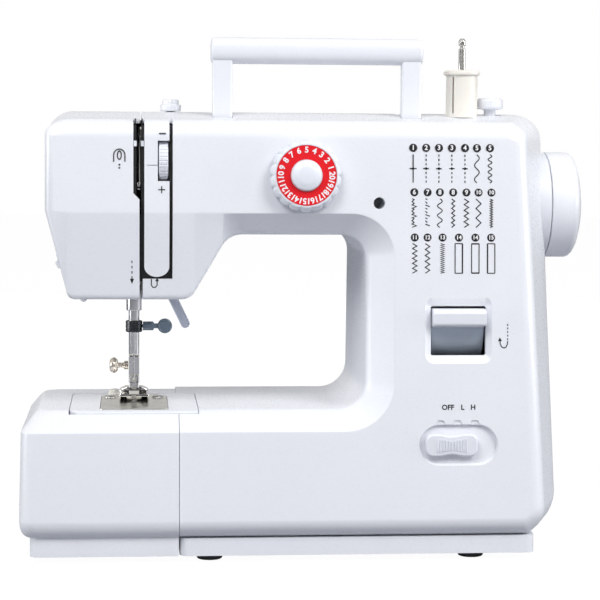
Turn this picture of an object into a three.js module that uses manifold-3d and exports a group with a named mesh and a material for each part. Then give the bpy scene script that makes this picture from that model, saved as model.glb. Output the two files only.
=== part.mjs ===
// Household sewing machine with a free arm, a slide-off extension table and a fold-down handle.
// Millimetres. X runs along the bed (needle end on the left), the operator sits at -Y, +Z is up.
// The origin is under the middle of the machine, on the surface that its rubber feet stand on.
import * as THREE from "three";
import { mergeVertices } from "three/addons/utils/BufferGeometryUtils.js";
import Module from "manifold-3d";

const wasm = await Module();
wasm.setup();

// ---- Driving dimensions -------------------------------------------------------------------
const OVERALL_LENGTH = 340; // extension table end to handwheel face
const DEPTH = 140; // front to back at the foot of the body
const WALL = 2.5; // plastic casing wall
const FIT = 0.4; // clearance between pieces that meet
const RUN = 0.35; // running clearance of shafts and bars in their bores

const FOOT_HEIGHT = 4; // rubber feet
const FOOT_RADIUS = 8;
const PLINTH_HEIGHT = 10.4; // set-back band between the feet and the casing
const PLINTH_SETBACK = 6;
const BED_TOP = 88; // sewing surface above the floor
const THROAT_HEIGHT = 102; // bed to the underside of the arm
const ARM_HEIGHT = 72; // underside of the arm to its crest
const LEAN = THREE.MathUtils.degToRad(3.6); // front and back panels lean inwards towards the top
const LEAN_START = 26; // height where the lean begins
const CREST_Y = 8; // the arm's top is crowned about this line
const CROWN_RADIUS = 200;

const TABLE_LENGTH = 92.3; // slide-off extension table
const NEEDLE_FROM_END = 66.1; // table end to needle
const HEAD_LEFT = 51.1; // needle to the left side of the head
const HEAD_RIGHT = 29; // needle to the head's lower right corner
const HEAD_SLANT = 12; // the head's left side draws in by this much below the crease
const THROAT_LENGTH = 106.4; // from that corner to the column
const HEAD_CLEARANCE = 64.3; // bed to the underside of the head
const CREASE_DROP = 13; // crease line above the throat's ceiling
const HANDLE_LEG_GAP = 100.7; // between the handle's legs
const HANDLE_LEG = 11.6; // width of each leg
const WHEEL_WIDTH = 22.9;
const WHEEL_CLEARANCE = 2.2; // wheel to the body at the shaft
const WHEEL_RADIUS = 32.2;
const SIDE_TAPER = 0.054; // right side leans in by this much per millimetre of height

const BEVEL = 10; // depth of the sloping band round the throat
const LIP = 3.5; // small rounding behind that band
const BAND_SIDE = 15.5; // width of the band on the column
const BAND_BED = 11.4; // and on the bed
const EDGE_TOP = 11; // rounding along the arm's top edges
const EDGE_SIDE = 6; // rounding of the upright edges
const EDGE_BOTTOM = 11.3; // inward curve above the plinth
const EDGE_BACK = 6; // rounding of the back edges

const NEEDLE_Y = -9;
const BAR_RADIUS = 3.25; // needle bar
const PRESSER_OFFSET = 12; // presser bar behind the needle bar
const PRESSER_RADIUS = 3.2;
const NEEDLE_STROKE = 28;
const NEEDLE_TIP = 11.5; // above the bed with the bar at the top
const SHAFT_Y = 6;
const SHAFT_RADIUS = 4;
const SHAFT_RISE = 16.9; // upper shaft above the throat's ceiling
const CRANK_RADIUS = NEEDLE_STROKE / 2;
const TIMING_RADIUS = 11;
const DRIVE_RADIUS = 26; // belt pulley on the upper shaft
const MOTOR_PULLEY_RADIUS = 6.5;
const MOTOR_RADIUS = 19;
const MOTOR_LENGTH = 42;
const BELT = 1.6; // belt thickness
const HOOK_RADIUS = 16.6;
const DIAL_RADIUS = 21;
const SCREW_HOLE_RADIUS = 3.4;

// ---- Heights and stations that follow from them -------------------------------------------
const zPlinth = FOOT_HEIGHT;
const zCase = zPlinth + PLINTH_HEIGHT + 0.3;
const zThroat = BED_TOP + THROAT_HEIGHT;
const zTop = zThroat + ARM_HEIGHT;
const zCrease = zThroat + CREASE_DROP;
const zHead = BED_TOP + HEAD_CLEARANCE;
const zShaft = zThroat + SHAFT_RISE;
const xLeft = -OVERALL_LENGTH / 2;
const xSeam = xLeft + TABLE_LENGTH;
const xNeedle = xLeft + NEEDLE_FROM_END;
const xHeadLeft = xNeedle - HEAD_LEFT;
const headSideX = (z) => xHeadLeft + (HEAD_SLANT * (zCrease + 1 - z)) / (zCrease - 4 - zHead);
const xHeadRight = xNeedle + HEAD_RIGHT;
const xColumn = xHeadRight + THROAT_LENGTH;
const xWheelEnd = OVERALL_LENGTH / 2;
const xWheel = xWheelEnd - WHEEL_WIDTH;
const xSide = (z) => xWheel - WHEEL_CLEARANCE + (zShaft - z) * SIDE_TAPER; // right side of the body
const xPlinth = xSide(zCase) - 24; // right end of the plinth
const frontY = (z) => -DEPTH / 2 + Math.max(0, z - LEAN_START) * Math.tan(LEAN);
const backY = (z) => -frontY(z);
const pressY = NEEDLE_Y + PRESSER_OFFSET;

// ---- Solid helpers ------------------------------------------------------------------------
// A closed three.js geometry as a solid; faces that turn out inverted are reversed.
function solid(geometry) {
  const g = geometry.clone();
  g.deleteAttribute("normal");
  g.deleteAttribute("uv");
  const merged = mergeVertices(g, 1e-4);
  const position = merged.attributes.position.array;
  const tris = [];
  for (let i = 0; i < merged.index.count; i += 3) {
    const [a, b, c] = [0, 1, 2].map((k) => merged.index.getX(i + k));
    if (a !== b && b !== c && c !== a) tris.push([a, b, c]);
  }
  const build = (flip) =>
    new wasm.Manifold(
      new wasm.Mesh({
        numProp: 3,
        vertProperties: position,
        triVerts: new Uint32Array(tris.flatMap((t) => (flip ? [t[0], t[2], t[1]] : t))),
      }),
    );
  const made = build(false);
  return made.volume() < 0 ? build(true) : made;
}

const join = (...parts) => parts.reduce((a, b) => a.add(b));
const cut = (body, ...tools) => tools.reduce((a, b) => a.subtract(b), body);

function geometryOf(body) {
  const m = body.getMesh();
  const g = new THREE.BufferGeometry();
  g.setAttribute("position", new THREE.BufferAttribute(new Float32Array(m.vertProperties), 3));
  g.setIndex(new THREE.BufferAttribute(new Uint32Array(m.triVerts), 1));
  g.computeVertexNormals();
  return g;
}

function box(x0, x1, y0, y1, z0, z1) {
  const g = new THREE.BoxGeometry(x1 - x0, y1 - y0, z1 - z0);
  return solid(g.translate((x0 + x1) / 2, (y0 + y1) / 2, (z0 + z1) / 2));
}

// A box whose front and back follow the leaning front panel at two depths behind it.
function panelBox(x0, x1, z0, z1, d0, d1) {
  const g = new THREE.BoxGeometry(1, 1, 1);
  const p = g.attributes.position;
  for (let i = 0; i < p.count; i++) {
    const z = p.getZ(i) < 0 ? z0 : z1;
    p.setXYZ(i, p.getX(i) < 0 ? x0 : x1, frontY(z) + (p.getY(i) < 0 ? d0 : d1), z);
  }
  return solid(g);
}

const turn = { x: (g) => g.rotateZ(-Math.PI / 2), y: (g) => g, z: (g) => g.rotateX(Math.PI / 2) };

// A round bar along an axis, from a to b on it, through the point (p, q) of the other two axes.
function rod(axis, radius, a, b, p, q, segments = 16) {
  const g = turn[axis](new THREE.CylinderGeometry(radius, radius, b - a, segments));
  const mid = (a + b) / 2;
  const at = { x: [mid, p, q], y: [p, mid, q], z: [p, q, mid] }[axis];
  return solid(g.translate(...at));
}

// A turned piece: profile points are [radius, height along the axis]; it starts and ends on the
// axis, or is closed on itself.
function turned(axis, profile, p, q, segments = 16) {
  const closed = profile[0][0] > 0 ? [...profile, profile[0]] : profile;
  const g = new THREE.LatheGeometry(
    closed.map(([r, h]) => new THREE.Vector2(r, h)),
    segments,
  );
  if (axis === "x") g.rotateZ(-Math.PI / 2);
  if (axis === "z") g.rotateX(Math.PI / 2);
  const at = { x: [0, p, q], y: [p, 0, q], z: [p, q, 0] }[axis];
  return solid(g.translate(...at));
}

// A flat outline of [x, z] points, extruded from y0 to y1.
function slabXZ(points, y0, y1) {
  const shape = new THREE.Shape(points.map(([x, z]) => new THREE.Vector2(x, z)));
  const g = new THREE.ExtrudeGeometry(shape, { depth: y1 - y0, bevelEnabled: false });
  return solid(g.rotateX(Math.PI / 2).translate(0, y1, 0));
}

// A flat outline of [y, z] points, extruded from x0 to x1.
function slabYZ(points, x0, x1) {
  const shape = new THREE.Shape(points.map(([y, z]) => new THREE.Vector2(y, z)));
  const g = new THREE.ExtrudeGeometry(shape, { depth: x1 - x0, bevelEnabled: false });
  return solid(g.rotateX(Math.PI / 2).rotateZ(Math.PI / 2).translate(x0, 0, 0));
}

// A flat outline of [x, y] points, extruded from z0 to z1.
function slabXY(points, z0, z1) {
  const shape = new THREE.Shape(points.map(([x, y]) => new THREE.Vector2(x, y)));
  const g = new THREE.ExtrudeGeometry(shape, { depth: z1 - z0, bevelEnabled: false });
  return solid(g.translate(0, 0, z0));
}

// Points of an arc, angles in degrees; the two radii may differ.
function arc(cx, cy, rx, ry, from, to, steps) {
  return Array.from({ length: steps + 1 }, (_, i) => {
    const a = THREE.MathUtils.degToRad(from + ((to - from) * i) / steps);
    return [cx + rx * Math.cos(a), cy + ry * Math.sin(a)];
  });
}

// A rounded rectangle, anticlockwise.
function roundRect(x0, x1, y0, y1, r, steps = 4) {
  return [
    ...arc(x1 - r, y0 + r, r, r, -90, 0, steps),
    ...arc(x1 - r, y1 - r, r, r, 0, 90, steps),
    ...arc(x0 + r, y1 - r, r, r, 90, 180, steps),
    ...arc(x0 + r, y0 + r, r, r, 180, 270, steps),
  ];
}

// Ear clipping that keeps every outline point, also those in line with their neighbours.
function triangulate(points) {
  const area = (a, b, c) =>
    (b[0] - a[0]) * (c[1] - a[1]) - (b[1] - a[1]) * (c[0] - a[0]);
  const left = points.map((_, i) => i);
  const tris = [];
  while (left.length > 3) {
    const n = left.length;
    let best = -1;
    let bestArea = 1e-7;
    for (let i = 0; i < n; i++) {
      const [a, b, c] = [left[(i + n - 1) % n], left[i], left[(i + 1) % n]];
      const [A, B, C] = [points[a], points[b], points[c]];
      const size = area(A, B, C);
      if (size <= bestArea) continue;
      const blocked = left.some((k) => {
        if (k === a || k === b || k === c) return false;
        const P = points[k];
        return area(A, B, P) > -1e-9 && area(B, C, P) > -1e-9 && area(C, A, P) > -1e-9;
      });
      if (!blocked) [best, bestArea] = [i, size];
    }
    if (best < 0) throw new Error("an outline crosses itself");
    tris.push([left[(best + n - 1) % n], left[best], left[(best + 1) % n]]);
    left.splice(best, 1);
  }
  tris.push(left);
  return tris;
}

// A solid through a row of rings with equal point counts; each ring is a list of [x, y, z].
function loft(rings, capPlane) {
  const n = rings[0].length;
  const position = rings.flat(2);
  const index = [];
  for (let r = 0; r + 1 < rings.length; r++)
    for (let i = 0; i < n; i++) {
      const j = (i + 1) % n;
      index.push(r * n + i, r * n + j, (r + 1) * n + j);
      index.push(r * n + i, (r + 1) * n + j, (r + 1) * n + i);
    }
  const last = (rings.length - 1) * n;
  for (const [a, b, c] of triangulate(rings[0].map(capPlane))) index.push(c, b, a);
  for (const [a, b, c] of triangulate(rings.at(-1).map(capPlane)))
    index.push(last + a, last + b, last + c);
  const g = new THREE.BufferGeometry();
  g.setAttribute("position", new THREE.BufferAttribute(new Float32Array(position), 3));
  g.setIndex(index);
  return solid(g);
}

// ---- The C-shaped body --------------------------------------------------------------------
// Each outline vertex has its silhouette point (x, z), the point (fx, fz) where its line meets
// the flat front panel, whether it runs there as a straight band, and its share of the crown.
function bodyOutline() {
  const out = [];
  const add = (a, f, band = false, crown = () => 0) =>
    a.forEach(([x, z], i) =>
      out.push({ x, z, fx: f[i][0], fz: f[i][1], band, crown: crown(i / (a.length - 1 || 1)) }),
    );
  const corner = 17;
  const xBase = xSide(zCase + corner);
  const xArm = xSide(zTop - corner);
  const zEdge = zCase + EDGE_BOTTOM;
  add([[xSeam, zCase]], [[xSeam, zEdge]]);
  add(
    arc(xBase - corner, zCase + corner, corner, corner, -90, 0, 4),
    arc(xBase - corner, zCase + corner, corner - EDGE_SIDE, corner - EDGE_BOTTOM, -90, 0, 4),
  );
  add(
    arc(xArm - corner, zTop - corner, corner, corner, 0, 90, 4),
    arc(xArm - corner, zTop - corner, corner - EDGE_SIDE, corner - EDGE_TOP, 0, 90, 4),
    false,
    (t) => Math.sin((t * Math.PI) / 2),
  );
  const shoulder = 15;
  add(
    arc(xHeadLeft + shoulder, zTop - shoulder, shoulder, shoulder, 90, 180, 4),
    arc(xHeadLeft + shoulder, zTop - shoulder, shoulder - EDGE_SIDE, shoulder - EDGE_TOP, 90, 180, 4),
    false,
    (t) => Math.cos((t * Math.PI) / 2),
  );
  add([[xHeadLeft, zCrease + 1]], [[xHeadLeft + EDGE_SIDE, zCrease + 1]]);
  // Below the crease the front panel turns into a band that runs back to the silhouette.
  const onCrease = (list, floor) => list.map(([x], i) => [Math.max(x, floor + i * 0.4), zCrease]);
  const cornerL = arc(xHeadLeft + HEAD_SLANT + 5, zHead + 5, 5, 5, 180, 270, 2);
  add(cornerL, onCrease(cornerL, xHeadLeft + EDGE_SIDE + 0.4), true);
  const chin = arc(xHeadRight - 1.5, zHead + 9, 9, 9, -90, -31, 2);
  add(chin, onCrease(chin, xHeadLeft), true);
  const brow = arc(xHeadRight + 34, zThroat - 14, 14, 14, 149, 90, 3);
  add(brow, onCrease(brow, xHeadLeft), true);
  const rt = 13.5;
  add(
    arc(xColumn - rt, zThroat - rt, rt, rt, 90, 0, 4),
    arc(xColumn + BAND_SIDE - 25, zCrease - 25, 25, 25, 90, 0, 4),
    true,
  );
  const rb = 17;
  const rBand = 28;
  add(
    arc(xColumn - rb, BED_TOP + rb, rb, rb, 0, -90, 4),
    arc(xColumn + BAND_SIDE - rBand, BED_TOP - BAND_BED + rBand, rBand, rBand, 0, -90, 4),
    true,
  );
  add([[xSeam, BED_TOP]], [[xSeam, BED_TOP - BAND_BED]], true);
  return out;
}

// How far a vertex still is from its silhouette point at a depth behind the panel, as a share.
function share(v, depth) {
  const length = Math.hypot(v.x - v.fx, v.z - v.fz);
  if (!v.band) return depth < length ? 1 - Math.sqrt(1 - (1 - depth / length) ** 2) : 0;
  if (depth <= BEVEL) return 1 - (1 - LIP / length) * (depth / BEVEL);
  const t = Math.min(1, (depth - BEVEL) / LIP);
  return (LIP / length) * (1 - Math.sqrt(1 - (1 - t) ** 2));
}

// Unit normals of the outline, lengthened at corners so that an offset keeps its distance.
function outlineNormals(points) {
  const n = points.length;
  const edge = (a, b) => {
    const [dx, dz] = [b.x - a.x, b.z - a.z];
    const l = Math.hypot(dx, dz);
    return [dz / l, -dx / l];
  };
  return points.map((p, i) => {
    const [ax, az] = edge(points[(i + n - 1) % n], p);
    const [bx, bz] = edge(p, points[(i + 1) % n]);
    const k = 1 + ax * bx + az * bz;
    return [(ax + bx) / k, (az + bz) / k];
  });
}

// The body's solid, moved inwards by `inset` all round (0 gives the outer skin).
function bodySolid(inset) {
  const outline = bodyOutline();
  const normals = outlineNormals(outline);
  const crownDrop = (y) => {
    const off = Math.min(DEPTH / 2 - 25, Math.abs(y - CREST_Y));
    return off ** 2 / (2 * CROWN_RADIUS);
  };
  const ring = (shareOf, yOf) =>
    outline.map((v, i) => {
      const s = shareOf(v, i);
      const x = v.x + (v.fx - v.x) * s.front + s.bx - normals[i][0] * inset;
      let z = v.z + (v.fz - v.z) * s.front + s.bz - normals[i][1] * inset;
      const y = yOf(z);
      z -= v.crown * crownDrop(y);
      return [x, y, z];
    });
  const front = [0, 3, BEVEL, BEVEL + LIP].map((d) =>
    ring((v) => ({ front: share(v, d), bx: 0, bz: 0 }), (z) => frontY(z) + d + inset),
  );
  const middle = [-0.24, CREST_Y / DEPTH, 0.31].map((f) =>
    ring(() => ({ front: 0, bx: 0, bz: 0 }), () => (f * DEPTH) / 2),
  );
  const back = [EDGE_BACK, 1.5, 0].map((d) =>
    ring(
      (v, i) => {
        const k = EDGE_BACK * (1 - Math.sqrt(1 - (1 - d / EDGE_BACK) ** 2));
        const side = v.x === xSeam ? 0 : 1;
        return { front: 0, bx: -normals[i][0] * k * side, bz: -normals[i][1] * k };
      },
      (z) => backY(z) - d - inset,
    ),
  );
  return loft([...front, ...middle, ...back], ([x, , z]) => [x, z]);
}

const FAR = 400;
const bodySkin = bodySolid(0);
const bodyShell = cut(
  bodySkin,
  bodySolid(WALL),
  // The casing is open underneath, where the plinth plate closes it.
  box(xSeam + WALL, xPlinth - 3, -DEPTH / 2 + 12, DEPTH / 2 - 10, zCase - 1, zCase + WALL + 1),
);

// ---- Places shared by the casing and what goes into it ------------------------------------
const splitY = 20; // parting plane of the front and back covers
const faceSplit = xNeedle + 4.1; // the head's end cover stops here
const slotWide = { x0: xNeedle - 0.4, z0: zCrease + 11, z1: zTop - 4 }; // take-up slot
const strip = { x0: xNeedle + 5.9, x1: xNeedle + 20.3, z0: zHead + 13.4 };
const slotRight = strip.x1 + 1.9;
const tension = { x0: xNeedle + 14.2, x1: xNeedle + 19.6, z: zCrease + 29.7, radius: 14, depth: 13.4 };
const dial = { x: xColumn - 36.7, z: zCrease + 21.4 };
const screwHole = { x: xColumn + 6.4, z: zCrease + 6 };
const lever = { x0: xColumn + 37, x1: xColumn + 69.4, z0: zThroat - 74.6, z1: zThroat - 40.8 };
const slider = { x0: xColumn + 30, x1: xColumn + 76.4, z0: BED_TOP - 31.4, z1: BED_TOP - 7.4 };
const sliderTravel = 8.5;
const handle = {
  x0: xColumn - 89.2,
  x1: xColumn - 89.2 + HANDLE_LEG_GAP + 2 * HANDLE_LEG,
  leg: HANDLE_LEG,
  y: -24,
  depth: 9,
  rise: 43.5, // crest to the top of the grip
  grip: 15.5,
};
const handlePivotZ = zTop - 11;
const post = { x: xColumn + 60.5, y: -18, radius: 9.4 };
const winder = { x: xColumn + 79.1, y: -10, stem: 3.5 };
const guideKnob = { x: xNeedle + 22, y: 4 };
const plateScrews = [
  [xNeedle - 14.4, 2],
  [xNeedle + 14.4, 2],
];
const arm = { x0: xNeedle - 37.4, x1: xNeedle + 37.3, y0: -54, y1: 26, z0: 46 };
const openHead = { x0: xNeedle - 20, x1: xNeedle + 16, y0: NEEDLE_Y - 13, y1: pressY + 11 };
const cutter = { y: -22, z: zHead + 16 };
const lifter = { x: xNeedle + 19.4, z: zHead + 4.7, y0: pressY + 13.8, y1: pressY + 20.8,
  rest: THREE.MathUtils.degToRad(26), reach: 27.5 };
const motorZ = 58;
const motorY = backY(motorZ) - WALL - MOTOR_RADIUS - 3;
const beltX = { timing: xColumn + 12, drive: xColumn + 88 };
const lowerZ = BED_TOP - 22;
const lowerY = 12;
const socket = { y: 24, z: 46 };

// ---- Casings ------------------------------------------------------------------------------
// Openings that run through the casing wall.
function caseOpenings() {
  const legPocket = (x) =>
    box(x - FIT, x + handle.leg + FIT, handle.y - handle.depth / 2 - 2.5, CREST_Y + 8, handlePivotZ - 8, FAR);
  return [
    // take-up slot: wide above, a narrow thread slot below
    panelBox(slotWide.x0, faceSplit + 1, slotWide.z0, slotWide.z1, -2, 12),
    slabXZ(
      [
        [slotWide.x0, slotWide.z0 + 0.1],
        [faceSplit, slotWide.z0 - 4.5],
        [faceSplit + 1, slotWide.z0 + 0.1],
      ],
      -DEPTH,
      frontY(slotWide.z0) + 12,
    ),
    panelBox(faceSplit - 1, slotRight, strip.z0 - 1.2, slotWide.z1, -2, 14),
    // needle and presser bars, and the presser lifter
    box(openHead.x0, openHead.x1, openHead.y0, openHead.y1, zHead - 2, zHead + WALL + 1.5),
    box(lifter.x - 8, xHeadRight + 16, lifter.y0 - 1.5, lifter.y1 + 1.5, zHead - 2, zHead + 12),
    // free arm: its inside opens into the bed, and its top plate lies in a notch
    box(xSeam - 1, xSeam + WALL + 1, arm.y0 + WALL, arm.y1 - WALL, arm.z0 + WALL, BED_TOP - WALL),
    box(xSeam - 1, arm.x1 + FIT, arm.y0 - FIT, arm.y1 + FIT, BED_TOP - WALL - FIT, BED_TOP + 1),
    // controls
    rod("y", 5, -DEPTH, frontY(dial.z) + 12, dial.x, dial.z),
    panelBox(lever.x0, lever.x1, lever.z0, lever.z1, -3, 8),
    panelBox(slider.x0 + 9, slider.x1 - 9, slider.z0 + 9, slider.z1 - 9, -3, 12),
    // top fittings
    rod("z", post.radius - 2 + FIT, zTop - 22, FAR, post.x, post.y),
    box(winder.x - winder.stem - FIT, winder.x + winder.stem + 3 + FIT,
      winder.y - winder.stem - FIT, winder.y + winder.stem + FIT, zTop - 12, FAR),
    rod("z", 3, zTop - 12, FAR, guideKnob.x, guideKnob.y),
    legPocket(handle.x0),
    legPocket(handle.x1 - handle.leg),
    // handwheel shaft and the sockets
    rod("x", SHAFT_RADIUS + 2, xSide(zShaft) - 8, FAR, SHAFT_Y, zShaft),
    box(xSide(socket.z) - 9, FAR, socket.y - 14, socket.y + 14, socket.z - 8, socket.z + 8),
  ];
}

// Material added inside the casing before its openings are cut.
function caseRibs() {
  const pocket = (x) =>
    box(x - FIT - 2, x + handle.leg + FIT + 2, handle.y - handle.depth / 2 - 4.5, splitY - 1,
      handlePivotZ - 10, zTop - 2).intersect(bodySkin);
  const sliderPad = panelBox(slider.x0 - 2, slider.x1 + 2, slider.z0 - 2, slider.z1 + 2, 1, 5);
  const screwTube = rod("y", SCREW_HOLE_RADIUS + 1.6, frontY(screwHole.z) + 1, frontY(screwHole.z) + 26,
    screwHole.x, screwHole.z);
  return [pocket(handle.x0), pocket(handle.x1 - handle.leg), sliderPad, screwTube];
}

// Hollows that don't run through the wall.
function casePockets() {
  const mid = (slider.z0 + slider.z1) / 2;
  const r = (slider.z1 - slider.z0) / 2;
  const stadium = [
    ...arc(slider.x1 - r, mid, r, r, -90, 90, 8),
    ...arc(slider.x0 + r, mid, r, r, 90, 270, 8),
  ];
  return [
    slabXZ(stadium, -DEPTH, 0).intersect(panelBox(slider.x0 - 1, slider.x1 + 1, slider.z0 - 1, slider.z1 + 1, -3, 2.5)),
    rod("y", SCREW_HOLE_RADIUS, -DEPTH, frontY(screwHole.z) + 24, screwHole.x, screwHole.z),
    // hinge pin bores of the handle
    rod("x", 2.6, handle.x0 - 2, handle.x0 + handle.leg + 2, handle.y, handlePivotZ),
    rod("x", 2.6, handle.x1 - handle.leg - 2, handle.x1 + 2, handle.y, handlePivotZ),
  ];
}

const casing = cut(join(bodyShell, ...caseRibs()), ...caseOpenings(), ...casePockets());
const frontHalf = box(faceSplit + FIT, FAR, -FAR, splitY - 0.15, -FAR, FAR);
const backHalf = box(faceSplit + FIT, FAR, splitY + 0.15, FAR, -FAR, FAR);
const headEnd = box(-FAR, faceSplit - FIT, -FAR, FAR, -FAR, FAR);
const largest = (body) =>
  body.decompose().reduce((a, b) => (b.volume() > a.volume() ? b : a));

const frontCover = () => largest(casing.intersect(frontHalf));
const backCover = () => largest(casing.intersect(backHalf));
const faceCover = () => largest(casing.intersect(headEnd));

// White bar between the two thread slots, with the window of the tension wheel.
function threadStrip() {
  const r = (strip.x1 - strip.x0) / 2;
  const outline = slabXZ(
    [
      ...arc(strip.x0 + r, strip.z0 + 5, r, 5, 180, 360, 8),
      [strip.x1, slotWide.z1 - FIT],
      [strip.x0, slotWide.z1 - FIT],
    ],
    -DEPTH,
    frontY(zTop) + 12.5,
  );
  const skin = cut(bodySkin, bodySolid(WALL)).intersect(outline);
  const window = panelBox(tension.x0 - 0.6, strip.x1 + 1, tension.z - 11.6, tension.z + 11.6, -2, 12);
  return largest(cut(skin, window));
}

// Dark thread channel behind the strip; the take-up lever passes through its slot.
function threadChannel() {
  const plate = panelBox(xNeedle - 0.2, slotRight + 2, strip.z0 - 3, slotWide.z1 - 5, 15, 17);
  const slot = panelBox(xNeedle + 1, xNeedle + 4.6, slotWide.z0 - 12, slotWide.z1 - 7, 14, 18);
  const wheel = rod("x", tension.radius + 1.5, tension.x0 - 1, tension.x1 + 1,
    frontY(tension.z) + tension.depth, tension.z);
  return cut(plate, slot, wheel);
}

// Slide-off extension table: a hollow box that wraps round the free arm on three sides.
function tableRing(z, inset, side) {
  const left = xLeft + (z - LEAN_START) * 0.02 + inset * 0.6;
  const [y0, y1] = [frontY(z) + inset, backY(z) - inset];
  const r = 9;
  return [
    [side, y0],
    [side, y1],
    ...arc(left + r, y1 - r, r, r, 90, 180, 4),
    ...arc(left + r, y0 + r, r, r, 180, 270, 4),
  ].map(([x, y]) => [x, y, z]);
}

function extensionTable() {
  const right = xSeam - 0.3;
  const bandTop = BED_TOP - LIP;
  const outer = loft(
    [
      [zCase, 9], [zCase + 2.6, 4.2], [zCase + 6, 1.2], [zCase + EDGE_BOTTOM, 0],
      [BED_TOP - BAND_BED, 0], [bandTop, BEVEL], [bandTop + 2.2, BEVEL + 1], [BED_TOP, BEVEL + LIP],
    ].map(([z, inset]) => tableRing(z, inset, right)),
    ([x, y]) => [x, y],
  );
  const inner = loft(
    [
      [zCase + WALL, 8.5], [zCase + EDGE_BOTTOM, WALL + 0.5], [BED_TOP - BAND_BED - 2, WALL + 0.5],
      [bandTop - WALL, BEVEL + WALL - 1], [BED_TOP - WALL, BEVEL + LIP],
    ].map(([z, inset]) => tableRing(z, inset, right + 2)),
    ([x, y]) => [x, y],
  );
  const plinth = slabXY(
    roundRect(xLeft + PLINTH_SETBACK, right + 6, -DEPTH / 2 + PLINTH_SETBACK, DEPTH / 2 - PLINTH_SETBACK, 6)
      .map(([x, y]) => [Math.min(x, right), y]),
    zPlinth,
    zCase + 1,
  );
  const gap = 0.4;
  const channel = (grow, x1, top) =>
    box(arm.x0 - gap - grow, x1, arm.y0 - gap - grow, arm.y1 + gap + grow, arm.z0 - gap - grow, top);
  const liner = channel(3, right, BED_TOP - 0.5).intersect(outer);
  return largest(cut(join(cut(outer, inner), plinth, liner), channel(0, right + 1, BED_TOP + 5)));
}

// Plinth plate under the body, with screw bosses' stiffening rim.
function basePlate() {
  const x1 = xPlinth;
  const outline = roundRect(xSeam + 0.3, x1, -DEPTH / 2 + PLINTH_SETBACK, DEPTH / 2 - PLINTH_SETBACK, 5);
  const hollow = box(xSeam + 4, x1 - 4, -DEPTH / 2 + PLINTH_SETBACK + 4, DEPTH / 2 - PLINTH_SETBACK - 4,
    zPlinth + 3, zCase + 1);
  return cut(slabXY(outline, zPlinth, zCase - 0.3), hollow);
}

const feet = [
  [xSeam + 18, -DEPTH / 2 + 20],
  [xSeam + 18, DEPTH / 2 - 20],
  [xSide(zCase) - 60, -DEPTH / 2 + 20],
  [xSide(zCase) - 60, DEPTH / 2 - 20],
];

function rubberFoot() {
  return turned("z", [[0, 0], [FOOT_RADIUS - 1, 0], [FOOT_RADIUS, 1.2], [FOOT_RADIUS, FOOT_HEIGHT - 0.05],
    [0, FOOT_HEIGHT - 0.05]], 0, 0);
}

// ---- Free arm and what it holds -----------------------------------------------------------
const plate = { x0: xNeedle - 19.6, x1: xNeedle + 19.8, y0: -49, y1: 20, thick: 1.8 };
const needleSlot = [xNeedle - 3.2, xNeedle + 3.2, NEEDLE_Y - 1.2, NEEDLE_Y + 1.2];
const feedRows = [-6.2, 6.2]; // from the needle, along X

function plateOutline(grow) {
  const c = 7;
  return [
    [plate.x0 - grow, plate.y0 - grow],
    [plate.x1 + grow, plate.y0 - grow],
    [plate.x1 + grow, plate.y1 - c],
    [plate.x1 - c, plate.y1 + grow],
    [plate.x0 + c, plate.y1 + grow],
    [plate.x0 - grow, plate.y1 - c],
  ];
}

function freeArm() {
  const z1 = BED_TOP - FIT / 2;
  const top = slabXY(
    [[arm.x1, arm.y0], [arm.x1, arm.y1], ...arc(arm.x0 + 6, arm.y1 - 6, 6, 6, 90, 180, 4),
      ...arc(arm.x0 + 6, arm.y0 + 6, 6, 6, 180, 270, 4)],
    z1 - WALL + FIT,
    z1,
  );
  const outer = slabXY(
    [[xSeam - FIT, arm.y0], [xSeam - FIT, arm.y1], ...arc(arm.x0 + 6, arm.y1 - 6, 6, 6, 90, 180, 4),
      ...arc(arm.x0 + 6, arm.y0 + 6, 6, 6, 180, 270, 4)],
    arm.z0,
    z1,
  );
  const inner = box(arm.x0 + WALL, xSeam + 1, arm.y0 + WALL, arm.y1 - WALL, arm.z0 + WALL, z1 - WALL + FIT);
  const recess = slabXY(plateOutline(FIT), z1 - plate.thick, BED_TOP + 1);
  const well = box(plate.x0 + 6, plate.x1 - 6, plate.y0 + 4, plate.y1 - 9, z1 - 8, BED_TOP + 1);
  const holes = plateScrews.map(([x, y]) => rod("z", 1.9, z1 - 8, z1, x, y, 10));
  return cut(join(outer, top), inner, recess, well, ...holes);
}

function needlePlate() {
  const z0 = BED_TOP - FIT / 2 - plate.thick + 0.1;
  const body = slabXY(plateOutline(0), z0, z0 + plate.thick + 0.5);
  const rows = feedRows.map((dx) =>
    box(xNeedle + dx - 1.8, xNeedle + dx + 1.8, NEEDLE_Y - 13, NEEDLE_Y + 13, z0 - 1, z0 + 5));
  const holes = plateScrews.map(([x, y]) => rod("z", 1.9, z0 - 1, z0 + 5, x, y, 12));
  return cut(body, box(...needleSlot, z0 - 1, z0 + 5), ...rows, ...holes);
}

function plateScrew() {
  const head = turned("z", [[0, 0], [3.4, 0], [3, 0.9], [0, 1.3]], 0, 0, 16);
  const shank = rod("z", 1.5, -5.4, 0.1, 0, 0, 12);
  const slot = box(-3.5, 3.5, -0.4, 0.4, 0.8, 2);
  return cut(join(head, shank), slot);
}

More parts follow.
